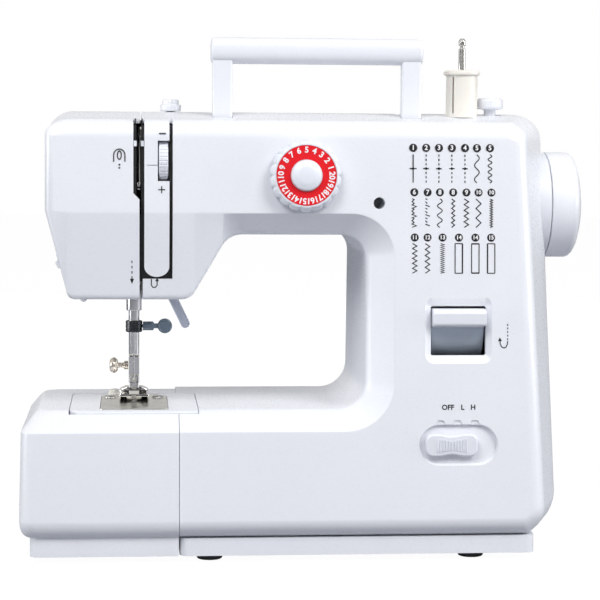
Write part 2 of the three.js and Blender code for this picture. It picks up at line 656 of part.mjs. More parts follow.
// Two toothed rows on one carrier; the rows stand in the needle plate's slots.
function feedDog() {
  const z1 = BED_TOP + 0.15;
  const rows = feedRows.map((dx) => {
    const teeth = [[NEEDLE_Y - 9, z1 - 5]];
    for (let y = NEEDLE_Y - 9; y < NEEDLE_Y + 8.9; y += 2.25) teeth.push([y, z1], [y + 2.25, z1 - 0.7]);
    teeth.push([NEEDLE_Y + 9, z1 - 5]);
    return slabYZ([...teeth].reverse(), xNeedle + dx - 1.4, xNeedle + dx + 1.4);
  });
  const carrier = join(
    box(xNeedle - 7.6, xNeedle + 7.6, NEEDLE_Y + 5, NEEDLE_Y + 9, z1 - 5.4, z1 - 2.9),
    box(xNeedle - 7.6, xNeedle + 7.6, NEEDLE_Y - 9, NEEDLE_Y - 5.5, z1 - 5.4, z1 - 2.9),
    box(xNeedle + 4.8, xNeedle + 24, NEEDLE_Y + 5, NEEDLE_Y + 9, z1 - 5.4, z1 - 2.9),
  );
  return join(carrier, ...rows);
}

// Shuttle: a fixed race ring, the turning hook with its shaft and bevel gear, case and bobbin.
const hook = { y0: NEEDLE_Y - 31, y1: NEEDLE_Y - 5, z: lowerZ };

function hookRace() {
  const r = HOOK_RADIUS;
  return turned("y", [[r - 1.8, hook.y0 + 2], [r, hook.y0 + 2], [r, hook.y1], [r - 1.8, hook.y1]],
    xNeedle, hook.z);
}

function shuttleHook() {
  const r = HOOK_RADIUS - 2.4;
  const floor = hook.y1 - 2.5;
  const gear = { far: 10, near: 6 };
  const cup = [[r - 1.6, hook.y0 + 4], [r, hook.y0 + 4], [r, hook.y1 - 0.3], [3.2, hook.y1 - 0.3]];
  const shaft = [[3.2, lowerY - gear.far], [gear.far - 0.5, lowerY - gear.far],
    [gear.near - 0.5, lowerY - gear.near], [0, lowerY - gear.near], [0, floor], [r - 1.6, floor]];
  return turned("y", [...cup, ...shaft], xNeedle, hook.z);
}

function bobbinCase() {
  const r = HOOK_RADIUS - 4.6;
  const [y0, y1] = [hook.y0 + 1, hook.y1 - 3.2];
  const shell = turned("y", [[0, y0], [r, y0], [r, y1], [r - 1, y1], [r - 1, y0 + 1.2], [0, y0 + 1.2]],
    xNeedle, hook.z);
  const latch = box(xNeedle - 9, xNeedle + 9, y0 - 1.4, y0 + 0.3, hook.z - 2.5, hook.z + 2.5);
  return join(shell, latch);
}

function bobbin() {
  const r = HOOK_RADIUS - 6;
  const [y0, y1] = [hook.y0 + 2.8, hook.y1 - 4];
  return turned("y", [[3, y0], [r, y0], [r, y0 + 1], [4.4, y0 + 1], [4.4, y1 - 1], [r, y1 - 1], [r, y1],
    [3, y1]], xNeedle, hook.z);
}

// Lower shaft: a bevel gear at the hook, the timing pulley at the other end.
function lowerShaft() {
  const gear = [[0, xNeedle + 6], [5.5, xNeedle + 6], [9.5, xNeedle + 10], [SHAFT_RADIUS, xNeedle + 10.5]];
  const end = beltX.timing + 9;
  const shaft = turned("x", [...gear, [SHAFT_RADIUS, end], [0, end]], lowerY, lowerZ);
  return join(shaft, pulley(beltX.timing, beltX.timing + 7, TIMING_RADIUS, 1, lowerY, lowerZ));
}

// ---- Drive train --------------------------------------------------------------------------
function pulley(x0, x1, radius, bore, y, z) {
  const rim = radius + 1.8;
  return turned("x", [[bore, x0], [rim, x0], [rim, x0 + 1], [radius, x0 + 1.3], [radius, x1 - 1.3],
    [rim, x1 - 1], [rim, x1], [bore, x1]], y, z);
}

// A flat belt round two pulleys of one plane, as a loop of constant thickness.
function beltLoop(x0, x1, a, b) {
  const dy = b.y - a.y;
  const dz = b.z - a.z;
  const base = THREE.MathUtils.radToDeg(Math.atan2(dz, dy));
  const tilt = THREE.MathUtils.radToDeg(Math.acos((a.r - b.r) / Math.hypot(dy, dz)));
  const loop = (grow) => [
    ...arc(a.y, a.z, a.r + grow, a.r + grow, base + tilt, base + 360 - tilt, 12),
    ...arc(b.y, b.z, b.r + grow, b.r + grow, base - tilt, base + tilt, 8),
  ];
  return cut(slabYZ(loop(FIT + BELT), x0, x1), slabYZ(loop(FIT), x0 - 1, x1 + 1));
}

const upperLine = { y: SHAFT_Y, z: zShaft };
const crank = { x0: xNeedle + 11.4, x1: xNeedle + 16.4 };
const bushes = [xNeedle + 25.7, xColumn + 30.3];

function upperShaft() {
  return rod("x", SHAFT_RADIUS, crank.x1 + FIT, xWheel + 12, SHAFT_Y, zShaft);
}

function bush(x) {
  return turned("x", [[SHAFT_RADIUS + RUN, x], [8, x], [8, x + 12], [SHAFT_RADIUS + RUN, x + 12]],
    SHAFT_Y, zShaft);
}

// Counterweighted disc whose pin drives the needle bar's link.
function needleCrank() {
  const disc = rod("x", CRANK_RADIUS + 4, crank.x0, crank.x1, SHAFT_Y, zShaft, 28);
  const pin = rod("x", 2.4, crank.x0 - 2.2, crank.x0 + 1, SHAFT_Y, zShaft + CRANK_RADIUS, 16);
  return join(disc, pin);
}

// Cast frame that carries the shaft bushes, the needle bar guide and the motor.
function chassis() {
  const y0 = splitY + 7;
  const y1 = y0 + 7;
  const post0 = xColumn + 30;
  const lug = (x) => box(x, x + 12, SHAFT_Y - 11, y0 + 1, zShaft - 11, zShaft + 11);
  const lowLug = box(xSeam + 20, xSeam + 30, lowerY - 8, y0 + 1, lowerZ - 9, lowerZ + 9);
  const frame = join(
    box(bushes[0], post0 + 11, y0, y1, zShaft - 8, zShaft + 20),
    box(post0, post0 + 11, y0, y1, zCase + WALL + 2, zShaft + 20),
    box(xSeam + 18, post0 + 1, y0, y1, lowerZ - 9, lowerZ + 9),
    ...bushes.map(lug),
    lowLug,
  );
  const bores = bushes.map((x) => rod("x", 8 + 0.3, x - 1, x + 13, SHAFT_Y, zShaft));
  return cut(frame, ...bores, rod("x", SHAFT_RADIUS + RUN, xSeam, xSeam + 50, lowerY, lowerZ));
}

function handwheel() {
  const r = WHEEL_RADIUS;
  const [a, b] = [xWheel, xWheelEnd];
  const rim = arc(b - 6, r - 6, 6, 6, 90, 20, 3).map(([x, y]) => [y, x]);
  const bore = SHAFT_RADIUS + 0.3;
  return turned("x", [[bore, a], [r - 1, a], [r, a + 1], ...rim, [r - 9, b], [0, b], [0, xWheel + 12.3],
    [bore, xWheel + 12.3]], SHAFT_Y, zShaft, 24);
}

function motor() {
  const x0 = beltX.drive - MOTOR_LENGTH - 4;
  const body = turned("x", [[0, x0], [MOTOR_RADIUS - 3, x0], [MOTOR_RADIUS, x0 + 3],
    [MOTOR_RADIUS, x0 + MOTOR_LENGTH - 3], [MOTOR_RADIUS - 3, x0 + MOTOR_LENGTH], [6, x0 + MOTOR_LENGTH],
    [0, x0 + MOTOR_LENGTH]], motorY, motorZ);
  return body;
}

function motorPulley() {
  const [a, b] = [beltX.drive, beltX.drive + 8];
  const r = MOTOR_PULLEY_RADIUS;
  return turned("x", [[0, a - 3.5], [2, a - 3.5], [2, a], [r + 1.5, a], [r + 1.5, a + 1], [r, a + 1.2],
    [r, b - 1.2], [r + 1.5, b - 1], [r + 1.5, b], [0, b]], motorY, motorZ);
}

// ---- Needle bar, take-up lever and presser ------------------------------------------------
const clampZ = BED_TOP + NEEDLE_TIP + 30.2; // underside of the needle clamp
const barTop = zShaft + 22;
const linkX = { x0: xNeedle + 5.6, x1: xNeedle + 8.4 };
const driverZ = zHead + 36;

function barGuide() {
  const hub = rod("z", BAR_RADIUS + 1.35, zHead - 9.6, zHead + 3, xNeedle, NEEDLE_Y);
  const floor = box(xNeedle - 13, xNeedle + 10, NEEDLE_Y - 8, pressY + 9, zHead - 1, zHead + 2.6);
  const back = box(xNeedle - 13, linkX.x0 - 1, pressY + 6, pressY + 9, zHead - 1, zShaft - 4);
  const shelf = box(xNeedle - 10, xNeedle + 4.6, NEEDLE_Y - 6, pressY + 7, zShaft - 11, zShaft - 4);
  const sleeve = rod("z", PRESSER_RADIUS + 1.8, zHead - 4, zHead + 4, xNeedle, pressY);
  return cut(
    join(hub, floor, back, shelf, sleeve),
    rod("z", BAR_RADIUS + RUN, zHead - 20, zTop, xNeedle, NEEDLE_Y),
    rod("z", PRESSER_RADIUS + RUN, zHead - 20, zTop, xNeedle, pressY),
  );
}

function needleBar() {
  const bar = rod("z", BAR_RADIUS, clampZ + 1.8, barTop, xNeedle, NEEDLE_Y);
  const driver = join(
    rod("z", 5.4, driverZ - 4, driverZ + 4, xNeedle, NEEDLE_Y),
    rod("x", 2.2, xNeedle, linkX.x1 + 1, NEEDLE_Y, driverZ, 14),
  );
  return join(bar, driver);
}

// Link from the bar's driver pin up to the crank pin, where the chain is left open.
function needleLink() {
  const up = Math.hypot(SHAFT_Y - NEEDLE_Y, zShaft + CRANK_RADIUS - driverZ);
  const stem = slabYZ([[-2.4, 0], [2.4, 0], [2.4, up], [-2.4, up]], linkX.x0, linkX.x1);
  const eyes = join(rod("x", 4.6, linkX.x0, linkX.x1, 0, 0), rod("x", 4.6, linkX.x0, linkX.x1, 0, up));
  const bores = [rod("x", 2.5, linkX.x0 - 1, linkX.x1 + 1, 0, 0, 14),
    rod("x", 2.9, linkX.x0 - 1, linkX.x1 + 1, 0, up, 14)];
  return cut(join(stem, eyes), ...bores);
}

function needleClamp() {
  const [a, b] = [clampZ, clampZ + 7];
  const ring = turned("z", [[1.35, a], [4.6, a], [5, a + 0.6], [5, b - 0.6], [4.6, b], [3.65, b],
    [3.65, a + 1.5], [1.35, a + 1.5]], xNeedle, NEEDLE_Y);
  return cut(ring, rod("x", 1.5, xNeedle + 3, xNeedle + 7, NEEDLE_Y, clampZ + 3.6, 12));
}

function clampScrew() {
  const x = xNeedle + 5.3;
  return turned("x", [[0, x - 1.2], [1.1, x - 1.2], [1.1, x], [2.7, x], [2.7, x + 6.4], [1.5, x + 6.9],
    [1.5, x + 9.3], [3.6, x + 9.3], [4.9, x + 10.8], [4.9, x + 15.6], [3.8, x + 17.4], [0, x + 17.8]],
    NEEDLE_Y, clampZ + 3.6);
}

function needle() {
  const top = clampZ + 1.4;
  const tip = BED_TOP + NEEDLE_TIP;
  return turned("z", [[0, top], [1, top], [1, top - 12], [0.55, top - 14], [0.5, tip + 4], [0, tip]],
    xNeedle, NEEDLE_Y, 12);
}

// Take-up lever: a flat arm from its pivot barrel to the open hook in the front slot.
const takeUp = { y: SHAFT_Y + 8, z: zTop - 14, tipZ: zCrease + 14.6, x0: xNeedle + 1.9, x1: xNeedle + 3.5 };

function takeUpLever() {
  const tipY = frontY(takeUp.tipZ) + 1.2;
  const reach = Math.hypot(takeUp.y - tipY, takeUp.z - takeUp.tipZ);
  const drop = Math.atan2(takeUp.z - takeUp.tipZ, takeUp.y - tipY);
  const arm = cut(
    slabYZ([[-reach, -2.4], [0, -3.6], [0, 3.6], [-reach, 2.4]], takeUp.x0, takeUp.x1),
    slabYZ([[-reach - 1, 1.2], [-reach - 1, -1], [-reach + 6, -1], [-reach + 6, 0.4], [-reach + 1.4, 1.2]],
      takeUp.x0 - 1, takeUp.x1 + 1),
  );
  const barrel = cut(
    rod("x", 5, takeUp.x0, takeUp.x1 + 4, 0, 0),
    rod("x", 2.2, takeUp.x0 - 1, takeUp.x1 + 5, 0, 0, 14),
  );
  return { body: cut(join(arm, barrel), rod("x", 2.2, takeUp.x0 - 1, takeUp.x1 + 5, 0, 0, 14)), drop };
}

function tensionDial() {
  const r = tension.radius;
  const [a, b] = [tension.x0, tension.x1];
  const wheel = turned("x", [[2.5, a], [r - 0.8, a], [r, a + 0.8], [r, b - 0.8], [r - 0.8, b], [2.5, b]], 0, 0, 24);
  const notches = Array.from({ length: 12 }, (_, i) => {
    const t = (i * Math.PI) / 6 + 0.1;
    return rod("x", 0.8, a - 1, b + 1, (r + 0.2) * Math.cos(t), (r + 0.2) * Math.sin(t), 4);
  });
  return cut(wheel, ...notches);
}

const soleZ = BED_TOP + 0.9; // underside of the presser foot
const footPivot = { y: pressY + 1, z: soleZ + 4.6 };

function presserBar() {
  const bar = rod("z", PRESSER_RADIUS, BED_TOP + 27, zShaft - 1, xNeedle, pressY);
  return join(bar, rod("z", 5.2, zHead + 10, zHead + 17, xNeedle, pressY));
}

function presserSpring() {
  const [a, b] = [zHead + 24, zShaft - 11.4];
  return turned("z", [[PRESSER_RADIUS + 0.5, a], [5.1, a], [5.1, b], [PRESSER_RADIUS + 0.5, b]],
    xNeedle, pressY, 20);
}

// Ankle: clamps on the presser bar and ends in a fork that holds the foot's cross pin.
function presserAnkle() {
  const z1 = BED_TOP + 26.6;
  const block = slabYZ(
    [[pressY - 3.2, z1], [pressY - 3.2, BED_TOP + 15], [pressY - 2.6, BED_TOP + 9.4], [pressY + 4.4, BED_TOP + 9.4],
      [pressY + 5, BED_TOP + 15], [pressY + 3.8, z1]].reverse(),
    xNeedle - 3.2,
    xNeedle + 3.2,
  );
  const fork = slabYZ(
    [[footPivot.y - 2.4, BED_TOP + 9.6], [footPivot.y - 2.4, footPivot.z - 1], [footPivot.y + 2.4, footPivot.z - 1],
      [footPivot.y + 2.4, BED_TOP + 9.6]],
    xNeedle - 2.6,
    xNeedle + 2.6,
  );
  return cut(join(block, fork), rod("x", 1.5, xNeedle - 5, xNeedle + 5, footPivot.y, footPivot.z, 14));
}

function presserScrew() {
  const x = xNeedle - 3.5;
  const profile = [[0, x], [2.6, x], [2.6, x - 2.6], [1.5, x - 2.6], [1.5, x - 6.4], [5, x - 6.4],
    [5.2, x - 7], [5.2, x - 10], [4, x - 11.2], [0, x - 11.4]];
  return turned("x", profile, pressY, BED_TOP + 20.3);
}

// Clip-on foot: a slotted sole with turned-up toes, two cheeks and a cross pin.
function presserFoot() {
  const [h, z0] = [1.8, soleZ];
  const toe = NEEDLE_Y - 15;
  const heel = footPivot.y + 7;
  const sole = slabYZ(
    [[toe, z0 + 3.6], [toe + 5.5, z0], [footPivot.y, z0], [heel, z0 + 1.6], [heel, z0 + h + 0.8],
      [toe + 6, z0 + h], [toe + 0.6, z0 + h + 3]],
    xNeedle - 8.7,
    xNeedle + 8.7,
  );
  const cheek = (x0, x1) => slabYZ(
    [[footPivot.y - 4, z0 + 1], [footPivot.y + 4, z0 + 1.4], [footPivot.y + 3, footPivot.z + 2.2],
      [footPivot.y - 3, footPivot.z + 2.2]], x0, x1);
  const pin = rod("x", 1.1, xNeedle - 5, xNeedle + 5, footPivot.y, footPivot.z, 12);
  const toes = box(xNeedle - 1.4, xNeedle + 1.4, toe - 1, NEEDLE_Y - 3, z0 - 1, z0 + 8);
  const hole = box(xNeedle - 3.4, xNeedle + 3.4, NEEDLE_Y - 3, NEEDLE_Y + 2.4, z0 - 1, z0 + 8);
  return cut(join(sole, cheek(xNeedle - 5.4, xNeedle - 3), cheek(xNeedle + 3, xNeedle + 5.4), pin), toes, hole);
}

// Lifter: a finger lever on a pin across the back of the head, hanging down to the right.
function presserLifter() {
  const w = lifter.y1 - lifter.y0;
  const [c, s] = [Math.cos(lifter.rest), Math.sin(lifter.rest)];
  const outline = [[-3.2, 0], ...arc(0, -lifter.reach, 3.2, 3.2, 180, 360, 6), [3.2, 0]];
  const tab = slabXZ(outline.map(([x, z]) => [x * c - z * s, x * s + z * c]), 0, w);
  return cut(join(tab, rod("y", 4.4, 0, w, 0, 0, 18)), rod("y", 1.6, -1, w + 1, 0, 0, 12));
}

function workLamp() {
  return turned("z", [[0, -2], [1.4, -1.6], [2.2, -0.4], [2.2, 0.5], [0, 0.5]], 0, 0, 16);
}

// Thread cutter: a hooked fin lying on the slanted side of the head.
function threadCutter() {
  const off = (dz, gap) => [headSideX(cutter.z + dz) - gap, cutter.z + dz];
  const fin = [off(0, 0.4), off(9, 0.4), off(9, 1.8), off(5, 1.8), off(4.2, 3.6), off(0.6, 3)];
  return slabXZ(fin, cutter.y, cutter.y + 5);
}

// ---- Controls -----------------------------------------------------------------------------
const dialAxisY = frontY(dial.z);

// Knob with a scalloped skirt, a groove for the numbered ring and a domed centre; axis +Z here.
function patternDial() {
  const r = DIAL_RADIUS;
  const body = turned("z", [[0, 12.3], [5, 11.9], [8.4, 10.6], [9.1, 9], [9.1, 7.6], [17.5, 7.6],
    [17.5, 8.4], [19.2, 7.6], [r, 3.4], [r, 0.8], [4, 0.8], [4, -12], [0, -12]]
    , 0, 0, 24);
  const scallops = Array.from({ length: 12 }, (_, i) => {
    const t = (i * Math.PI) / 6;
    return rod("z", 3.2, 0, 12, (r + 2.1) * Math.cos(t), (r + 2.1) * Math.sin(t), 8);
  });
  return cut(body, ...scallops);
}

function dialRing() {
  return turned("z", [[9.4, 7.9], [17.2, 7.9], [17.2, 8.5], [9.4, 9.3]], 0, 0, 24);
}

const leverPivot = { y: frontY(lever.z1) + 34, z: lever.z1 - 8 };

// Rocking lever: a finger bar at the top and a curved apron that fills its window.
function reverseLever() {
  const f = (z) => frontY(z);
  const [a, b] = [lever.x0 + 0.6, lever.x1 - 0.6];
  const bar = slabYZ(
    [[f(lever.z1) - 5.5, lever.z1 - 10.5], [f(lever.z1) + 6, lever.z1 - 12.5], [f(lever.z1) + 6, lever.z1 - 1.4],
      [f(lever.z1) - 3, lever.z1 - 1.4], [f(lever.z1) - 5.5, lever.z1 - 3.4]],
    a, b);
  const radius = leverPivot.y - f(lever.z1) - 4.5;
  const apron = cut(
    slabYZ([...arc(leverPivot.y, leverPivot.z, radius, radius, 175, 226, 6),
      ...arc(leverPivot.y, leverPivot.z, radius - 2, radius - 2, 226, 175, 6)], a, b),
    box(-FAR, FAR, -FAR, FAR, -FAR, lever.z0 - 6),
  );
  const stem = box((a + b) / 2 - 8, (a + b) / 2 + 8, f(lever.z1) + 4, leverPivot.y, leverPivot.z - 3, leverPivot.z + 3);
  const barrel = rod("x", 5, (a + b) / 2 - 11, (a + b) / 2 + 11, leverPivot.y, leverPivot.z);
  return cut(join(bar, apron, stem, barrel),
    rod("x", 1.8, lever.x0 - 5, lever.x1 + 5, leverPivot.y, leverPivot.z, 12));
}

function powerSlider() {
  const z = (slider.z0 + slider.z1) / 2;
  const x0 = slider.x0 + 3.6;
  const x1 = slider.x1 - 3.6 - sliderTravel;
  const r = 6.6;
  const waist = [[x1 - 11, z + r - 2.4], [x0 + 11, z + r - 2.4]];
  const outline = [...arc(x1 - r, z, r, r, -90, 90, 6), ...waist, ...arc(x0 + r, z, r, r, 90, 270, 6),
    [x0 + 11, z - r + 2.4], [x1 - 11, z - r + 2.4]];
  const y = frontY(z);
  const knob = slabXZ(outline, y - 2.6, y + 2);
  const grooves = [-6, -3, 0, 3, 6].map((dx) =>
    box((x0 + x1) / 2 + dx - 0.5, (x0 + x1) / 2 + dx + 0.5, y - 5, y - 1.6, z - 9, z + 9));
  const stem = box(slider.x0 + 9.4, slider.x0 + 16, y + 1, y + 11, z - 2.4, z + 2.4);
  return cut(join(knob, stem), ...grooves);
}

function speedBoard() {
  const z = (slider.z0 + slider.z1) / 2;
  const y = frontY(z) + 13.5;
  const board = box(slider.x0, slider.x1, y, y + 1.6, z - 14, z + 14);
  const chips = [[6, 6], [22, -8], [36, 5]].map(([dx, dz]) =>
    box(slider.x0 + dx - 4, slider.x0 + dx + 4, y + 1.5, y + 5, z + dz - 3, z + dz + 3));
  return join(board, ...chips);
}

// ---- Top fittings -------------------------------------------------------------------------
function handleBail() {
  const { x0, x1, leg, depth, grip } = handle;
  const topZ = zTop + handle.rise - handlePivotZ;
  const gripBar = slabYZ(
    [...arc(1.5, topZ - grip / 2, 8, grip / 2, 0, 360, 16)].slice(0, 16), x0 - 1, x1 + 1);
  const legOf = (x) => slabYZ(
    [[-depth / 2, 0], ...arc(0, 0, depth / 2, depth / 2, 180, 360, 6), [depth / 2, 0], [depth / 2, topZ - grip / 2],
      [-depth / 2, topZ - grip / 2]],
    x, x + leg);
  const pin = (x) => rod("x", 2.2, x - 1.6, x + leg + 1.6, 0, 0, 14);
  const [right, left] = [x1 - leg, x0];
  return join(gripBar, legOf(left), legOf(right), pin(left), pin(right));
}

function spoolPost() {
  const r = post.radius;
  const z0 = zTop - (CREST_Y - post.y - post.radius) ** 2 / (2 * CROWN_RADIUS);
  const top = zTop + 25.5;
  const body = turned("z", [[2.5, z0 - 16], [r - 2, z0 - 16], [r - 2, z0 + 0.5], [r, z0 + 0.5], [r, top - 2.5],
    [r + 1.5, top - 2.3], [r + 1.5, top - 0.4], [r + 1, top], [2.5, top]], post.x, post.y);
  const slit = box(post.x - 5, post.x - 3.6, post.y - r - 2, post.y - r + 2.4, z0 + 3, top - 4);
  return cut(body, slit);
}

function spoolPin() {
  const top = zTop + 44.6;
  return turned("z", [[0, zTop], [2.1, zTop], [2.1, top - 6.2], [1.3, top - 5.8], [1.3, top - 4.6],
    [2.1, top - 4], [2.2, top - 2], [1.4, top - 0.5], [0, top]], post.x, post.y, 16);
}

function winderButton() {
  const z0 = zTop + 2.9;
  return turned("z", [[0, z0 - 16], [winder.stem, z0 - 16], [winder.stem, z0], [7.2, z0], [7.95, z0 + 0.9],
    [7.95, z0 + 5.2], [7, z0 + 6.4], [0, z0 + 6.6]], winder.x, winder.y);
}

function threadGuide() {
  const z0 = zTop + 0.4;
  return turned("z", [[0, z0 - 7], [2.5, z0 - 7], [2.5, z0], [6.3, z0], [6.3, z0 + 3.8], [5, z0 + 4.4],
    [5, z0 + 6.6], [4.4, z0 + 7], [0, z0 + 7]], guideKnob.x, guideKnob.y);
}

function socketPanel() {
  const x1 = xSide(socket.z) + 0.8;
  const { y, z } = socket;
  const panel = join(
    box(x1 - 2, x1, y - 13.5, y + 13.5, z - 7.5, z + 7.5),
    box(x1 - 14, x1 - 1, y - 12, y + 12, z - 6, z + 6),
  );
  const jacks = [-6, 6].map((dy) => rod("x", 3.2, x1 - 10, x1 + 1, y + dy, z, 16));
  return cut(panel, ...jacks);
}

// ---- Materials ----------------------------------------------------------------------------
const finish = (color, roughness, metalness = 0) =>
  new THREE.MeshStandardMaterial({ color, roughness, metalness });
const white = finish(0xe8ebf4, 0.38);
const whiteKnob = finish(0xe4e7f1, 0.34);
const red = finish(0xd8141c, 0.35);
const black = finish(0x16171a, 0.5);
const rubber = finish(0x2a2b2e, 0.85);
const ivory = finish(0xf1ece0, 0.45);
const greyPlastic = finish(0x8b91a0, 0.45);
const steel = finish(0xb9bcc2, 0.25, 1);
const satin = finish(0xa9abae, 0.42, 1);
const castAlloy = finish(0x9a9da1, 0.6, 0.9);
const brass = finish(0xc9a86a, 0.35, 1);
const darkSteel = finish(0x3b3d42, 0.4, 0.8);
const lens = finish(0xf4f4ee, 0.2);
const board = finish(0x2f6b45, 0.6);

// ---- Assembly -----------------------------------------------------------------------------
const machine = new THREE.Group();

function node(name, body, material, parent = machine, at = [0, 0, 0], tilt = 0) {
  const mesh = new THREE.Mesh(geometryOf(body), material);
  mesh.name = name;
  mesh.position.set(...at);
  mesh.rotation.x = tilt;
  parent.add(mesh);
}

function group(parent = machine) {
  const g = new THREE.Group();
  parent.add(g);
  return g;
}

const casings = group();
node("front_cover", frontCover(), white, casings);
node("rear_cover", backCover(), white, casings);
node("face_cover", faceCover(), white, casings);
node("thread_strip", threadStrip(), white, casings);
node("thread_channel", threadChannel(), black, casings);
node("base_plate", basePlate(), white, casings);
node("extension_table", extensionTable(), white, casings);
feet.forEach(([x, y], i) => node("rubber_foot_" + (i + 1), rubberFoot(), rubber, casings, [x, y, 0]));

const bed = group();
node("free_arm", freeArm(), white, bed);
node("needle_plate", needlePlate(), satin, bed);
plateScrews.forEach(([x, y], i) =>
  node(["needle_plate_screw_left", "needle_plate_screw_right"][i], plateScrew(), steel, bed,
    [x, y, BED_TOP + 0.65]));
node("feed_dog", feedDog(), steel, bed);
node("hook_race", hookRace(), satin, bed);
node("shuttle_hook", shuttleHook(), steel, bed);
node("bobbin_case", bobbinCase(), steel, bed);
node("bobbin", bobbin(), steel, bed);

const drive = group();
node("chassis", chassis(), castAlloy, drive);
node("upper_shaft", upperShaft(), steel, drive);
bushes.forEach((x, i) => node(["upper_bush_left", "upper_bush_right"][i], bush(x), brass, drive));
node("needle_crank", needleCrank(), darkSteel, drive);
node("handwheel", handwheel(), white, drive);
node("drive_pulley",
  pulley(beltX.drive, beltX.drive + 8, DRIVE_RADIUS, SHAFT_RADIUS + 0.3, SHAFT_Y, zShaft), black, drive);
node("timing_pulley_upper",
  pulley(beltX.timing, beltX.timing + 8, TIMING_RADIUS, SHAFT_RADIUS + 0.3, SHAFT_Y, zShaft), black, drive);
node("timing_belt", beltLoop(beltX.timing + 1.6, beltX.timing + 5.4, { ...upperLine, r: TIMING_RADIUS },
  { y: lowerY, z: lowerZ, r: TIMING_RADIUS }), rubber, drive);
node("lower_shaft", lowerShaft(), steel, drive);
node("motor", motor(), darkSteel, drive);
node("motor_pulley", motorPulley(), brass, drive);
node("motor_belt", beltLoop(beltX.drive + 1.6, beltX.drive + 6.4, { ...upperLine, r: DRIVE_RADIUS },
  { y: motorY, z: motorZ, r: MOTOR_PULLEY_RADIUS }), rubber, drive);

const head = group();
node("bar_guide", barGuide(), castAlloy, head);
node("needle_bar", needleBar(), steel, head);
node("needle_link", needleLink(), darkSteel, head, [0, NEEDLE_Y, driverZ],
  -Math.atan2(SHAFT_Y - NEEDLE_Y, zShaft + CRANK_RADIUS - driverZ));
node("needle_clamp", needleClamp(), black, head);
node("needle_clamp_screw", clampScrew(), greyPlastic, head);
node("needle", needle(), steel, head);
const takeUpArm = takeUpLever();
node("take_up_lever", takeUpArm.body, steel, head, [0, takeUp.y, takeUp.z], takeUpArm.drop);
node("tension_dial", tensionDial(), whiteKnob, head, [0, frontY(tension.z) + tension.depth, tension.z]);
node("presser_bar", presserBar(), steel, head);
node("presser_spring", presserSpring(), steel, head);
node("presser_ankle", presserAnkle(), steel, head);
node("presser_foot", presserFoot(), steel, head);
node("presser_screw", presserScrew(), brass, head);
node("presser_lifter", presserLifter(), greyPlastic, head, [lifter.x, lifter.y0, lifter.z]);
node("work_lamp", workLamp(), lens, head, [xNeedle - 29.6, -30, zHead - 0.9]);
node("thread_cutter", threadCutter(), greyPlastic, head);

const controls = group();
const onPanel = Math.PI / 2 - LEAN; // turns +Z into the panel's outward direction
node("pattern_dial", patternDial(), whiteKnob, controls, [dial.x, dialAxisY, dial.z], onPanel);
node("dial_ring", dialRing(), red, controls, [dial.x, dialAxisY, dial.z], onPanel);
node("reverse_lever", reverseLever(), whiteKnob, controls);
node("power_slider", powerSlider(), whiteKnob, controls);
node("speed_board", speedBoard(), board, controls);
node("socket_panel", socketPanel(), black, controls);

const top = group();
node("handle", handleBail(), white, top, [0, handle.y, handlePivotZ]);
node("spool_post", spoolPost(), ivory, top);
node("spool_pin", spoolPin(), steel, top);
node("bobbin_winder", winderButton(), whiteKnob, top);
node("thread_guide", threadGuide(), white, top);

export default machine;
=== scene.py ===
# Looks of a household free-arm sewing machine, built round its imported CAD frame.
# Lengths in this script are millimetres until make_mesh turns them into metres.
import math

import bmesh
import bpy
from mathutils import Matrix, Vector


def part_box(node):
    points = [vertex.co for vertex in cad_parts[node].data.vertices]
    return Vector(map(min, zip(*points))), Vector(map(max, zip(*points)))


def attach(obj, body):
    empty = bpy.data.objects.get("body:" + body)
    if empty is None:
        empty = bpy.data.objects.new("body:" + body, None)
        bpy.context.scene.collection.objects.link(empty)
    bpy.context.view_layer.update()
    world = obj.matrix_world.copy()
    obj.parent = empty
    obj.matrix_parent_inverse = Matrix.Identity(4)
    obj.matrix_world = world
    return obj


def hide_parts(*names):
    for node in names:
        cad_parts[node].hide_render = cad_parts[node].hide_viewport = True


MM = 0.001
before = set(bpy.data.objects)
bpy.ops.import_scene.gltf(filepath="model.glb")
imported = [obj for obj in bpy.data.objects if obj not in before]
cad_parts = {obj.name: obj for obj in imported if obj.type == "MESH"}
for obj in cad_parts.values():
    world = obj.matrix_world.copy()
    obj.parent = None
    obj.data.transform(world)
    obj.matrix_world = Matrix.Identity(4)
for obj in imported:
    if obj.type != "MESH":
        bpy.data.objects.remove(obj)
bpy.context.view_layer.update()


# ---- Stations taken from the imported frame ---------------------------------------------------
def span(node):
    lo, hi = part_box(node)
    return [c / MM for c in lo], [c / MM for c in hi]


def middle(node):
    lo, hi = span(node)
    return [(a + b) / 2 for a, b in zip(lo, hi)]


TABLE_LO, TABLE_HI = span("extension_table")
FRONT_LO, FRONT_HI = span("front_cover")
FACE_LO, FACE_HI = span("face_cover")
WHEEL_LO, WHEEL_HI = span("handwheel")
DEPTH = FRONT_LO[1] * -2
BED_TOP = TABLE_HI[2]
Z_TOP = FACE_HI[2]
Z_CASE = FRONT_LO[2]
Z_HEAD = FACE_LO[2]
X_HEAD = FACE_LO[0]
X_SEAM = TABLE_HI[0] + 0.3
SPLIT_Y = FRONT_HI[1] + 0.1
FACE_SPLIT = FRONT_LO[0] - 0.4
X_NEEDLE, PRESS_Y = middle("presser_bar")[0], middle("presser_bar")[1]
NEEDLE_Y = PRESS_Y - 12
SHAFT_Y, Z_SHAFT = middle("handwheel")[1], middle("handwheel")[2]
Z_THROAT = Z_SHAFT - 16.9
Z_CREASE = Z_THROAT + 13
X_HEAD_RIGHT = X_NEEDLE + 29
X_COLUMN = span("reverse_lever")[0][0] - 37.6
CREST_Y = 8
LEAN = math.radians(3.6)
LEAN_START = 26
WALL = 2.5
BEVEL, LIP = 10, 3.5
BAND_BED, BAND_SIDE = 11.4, 15.5
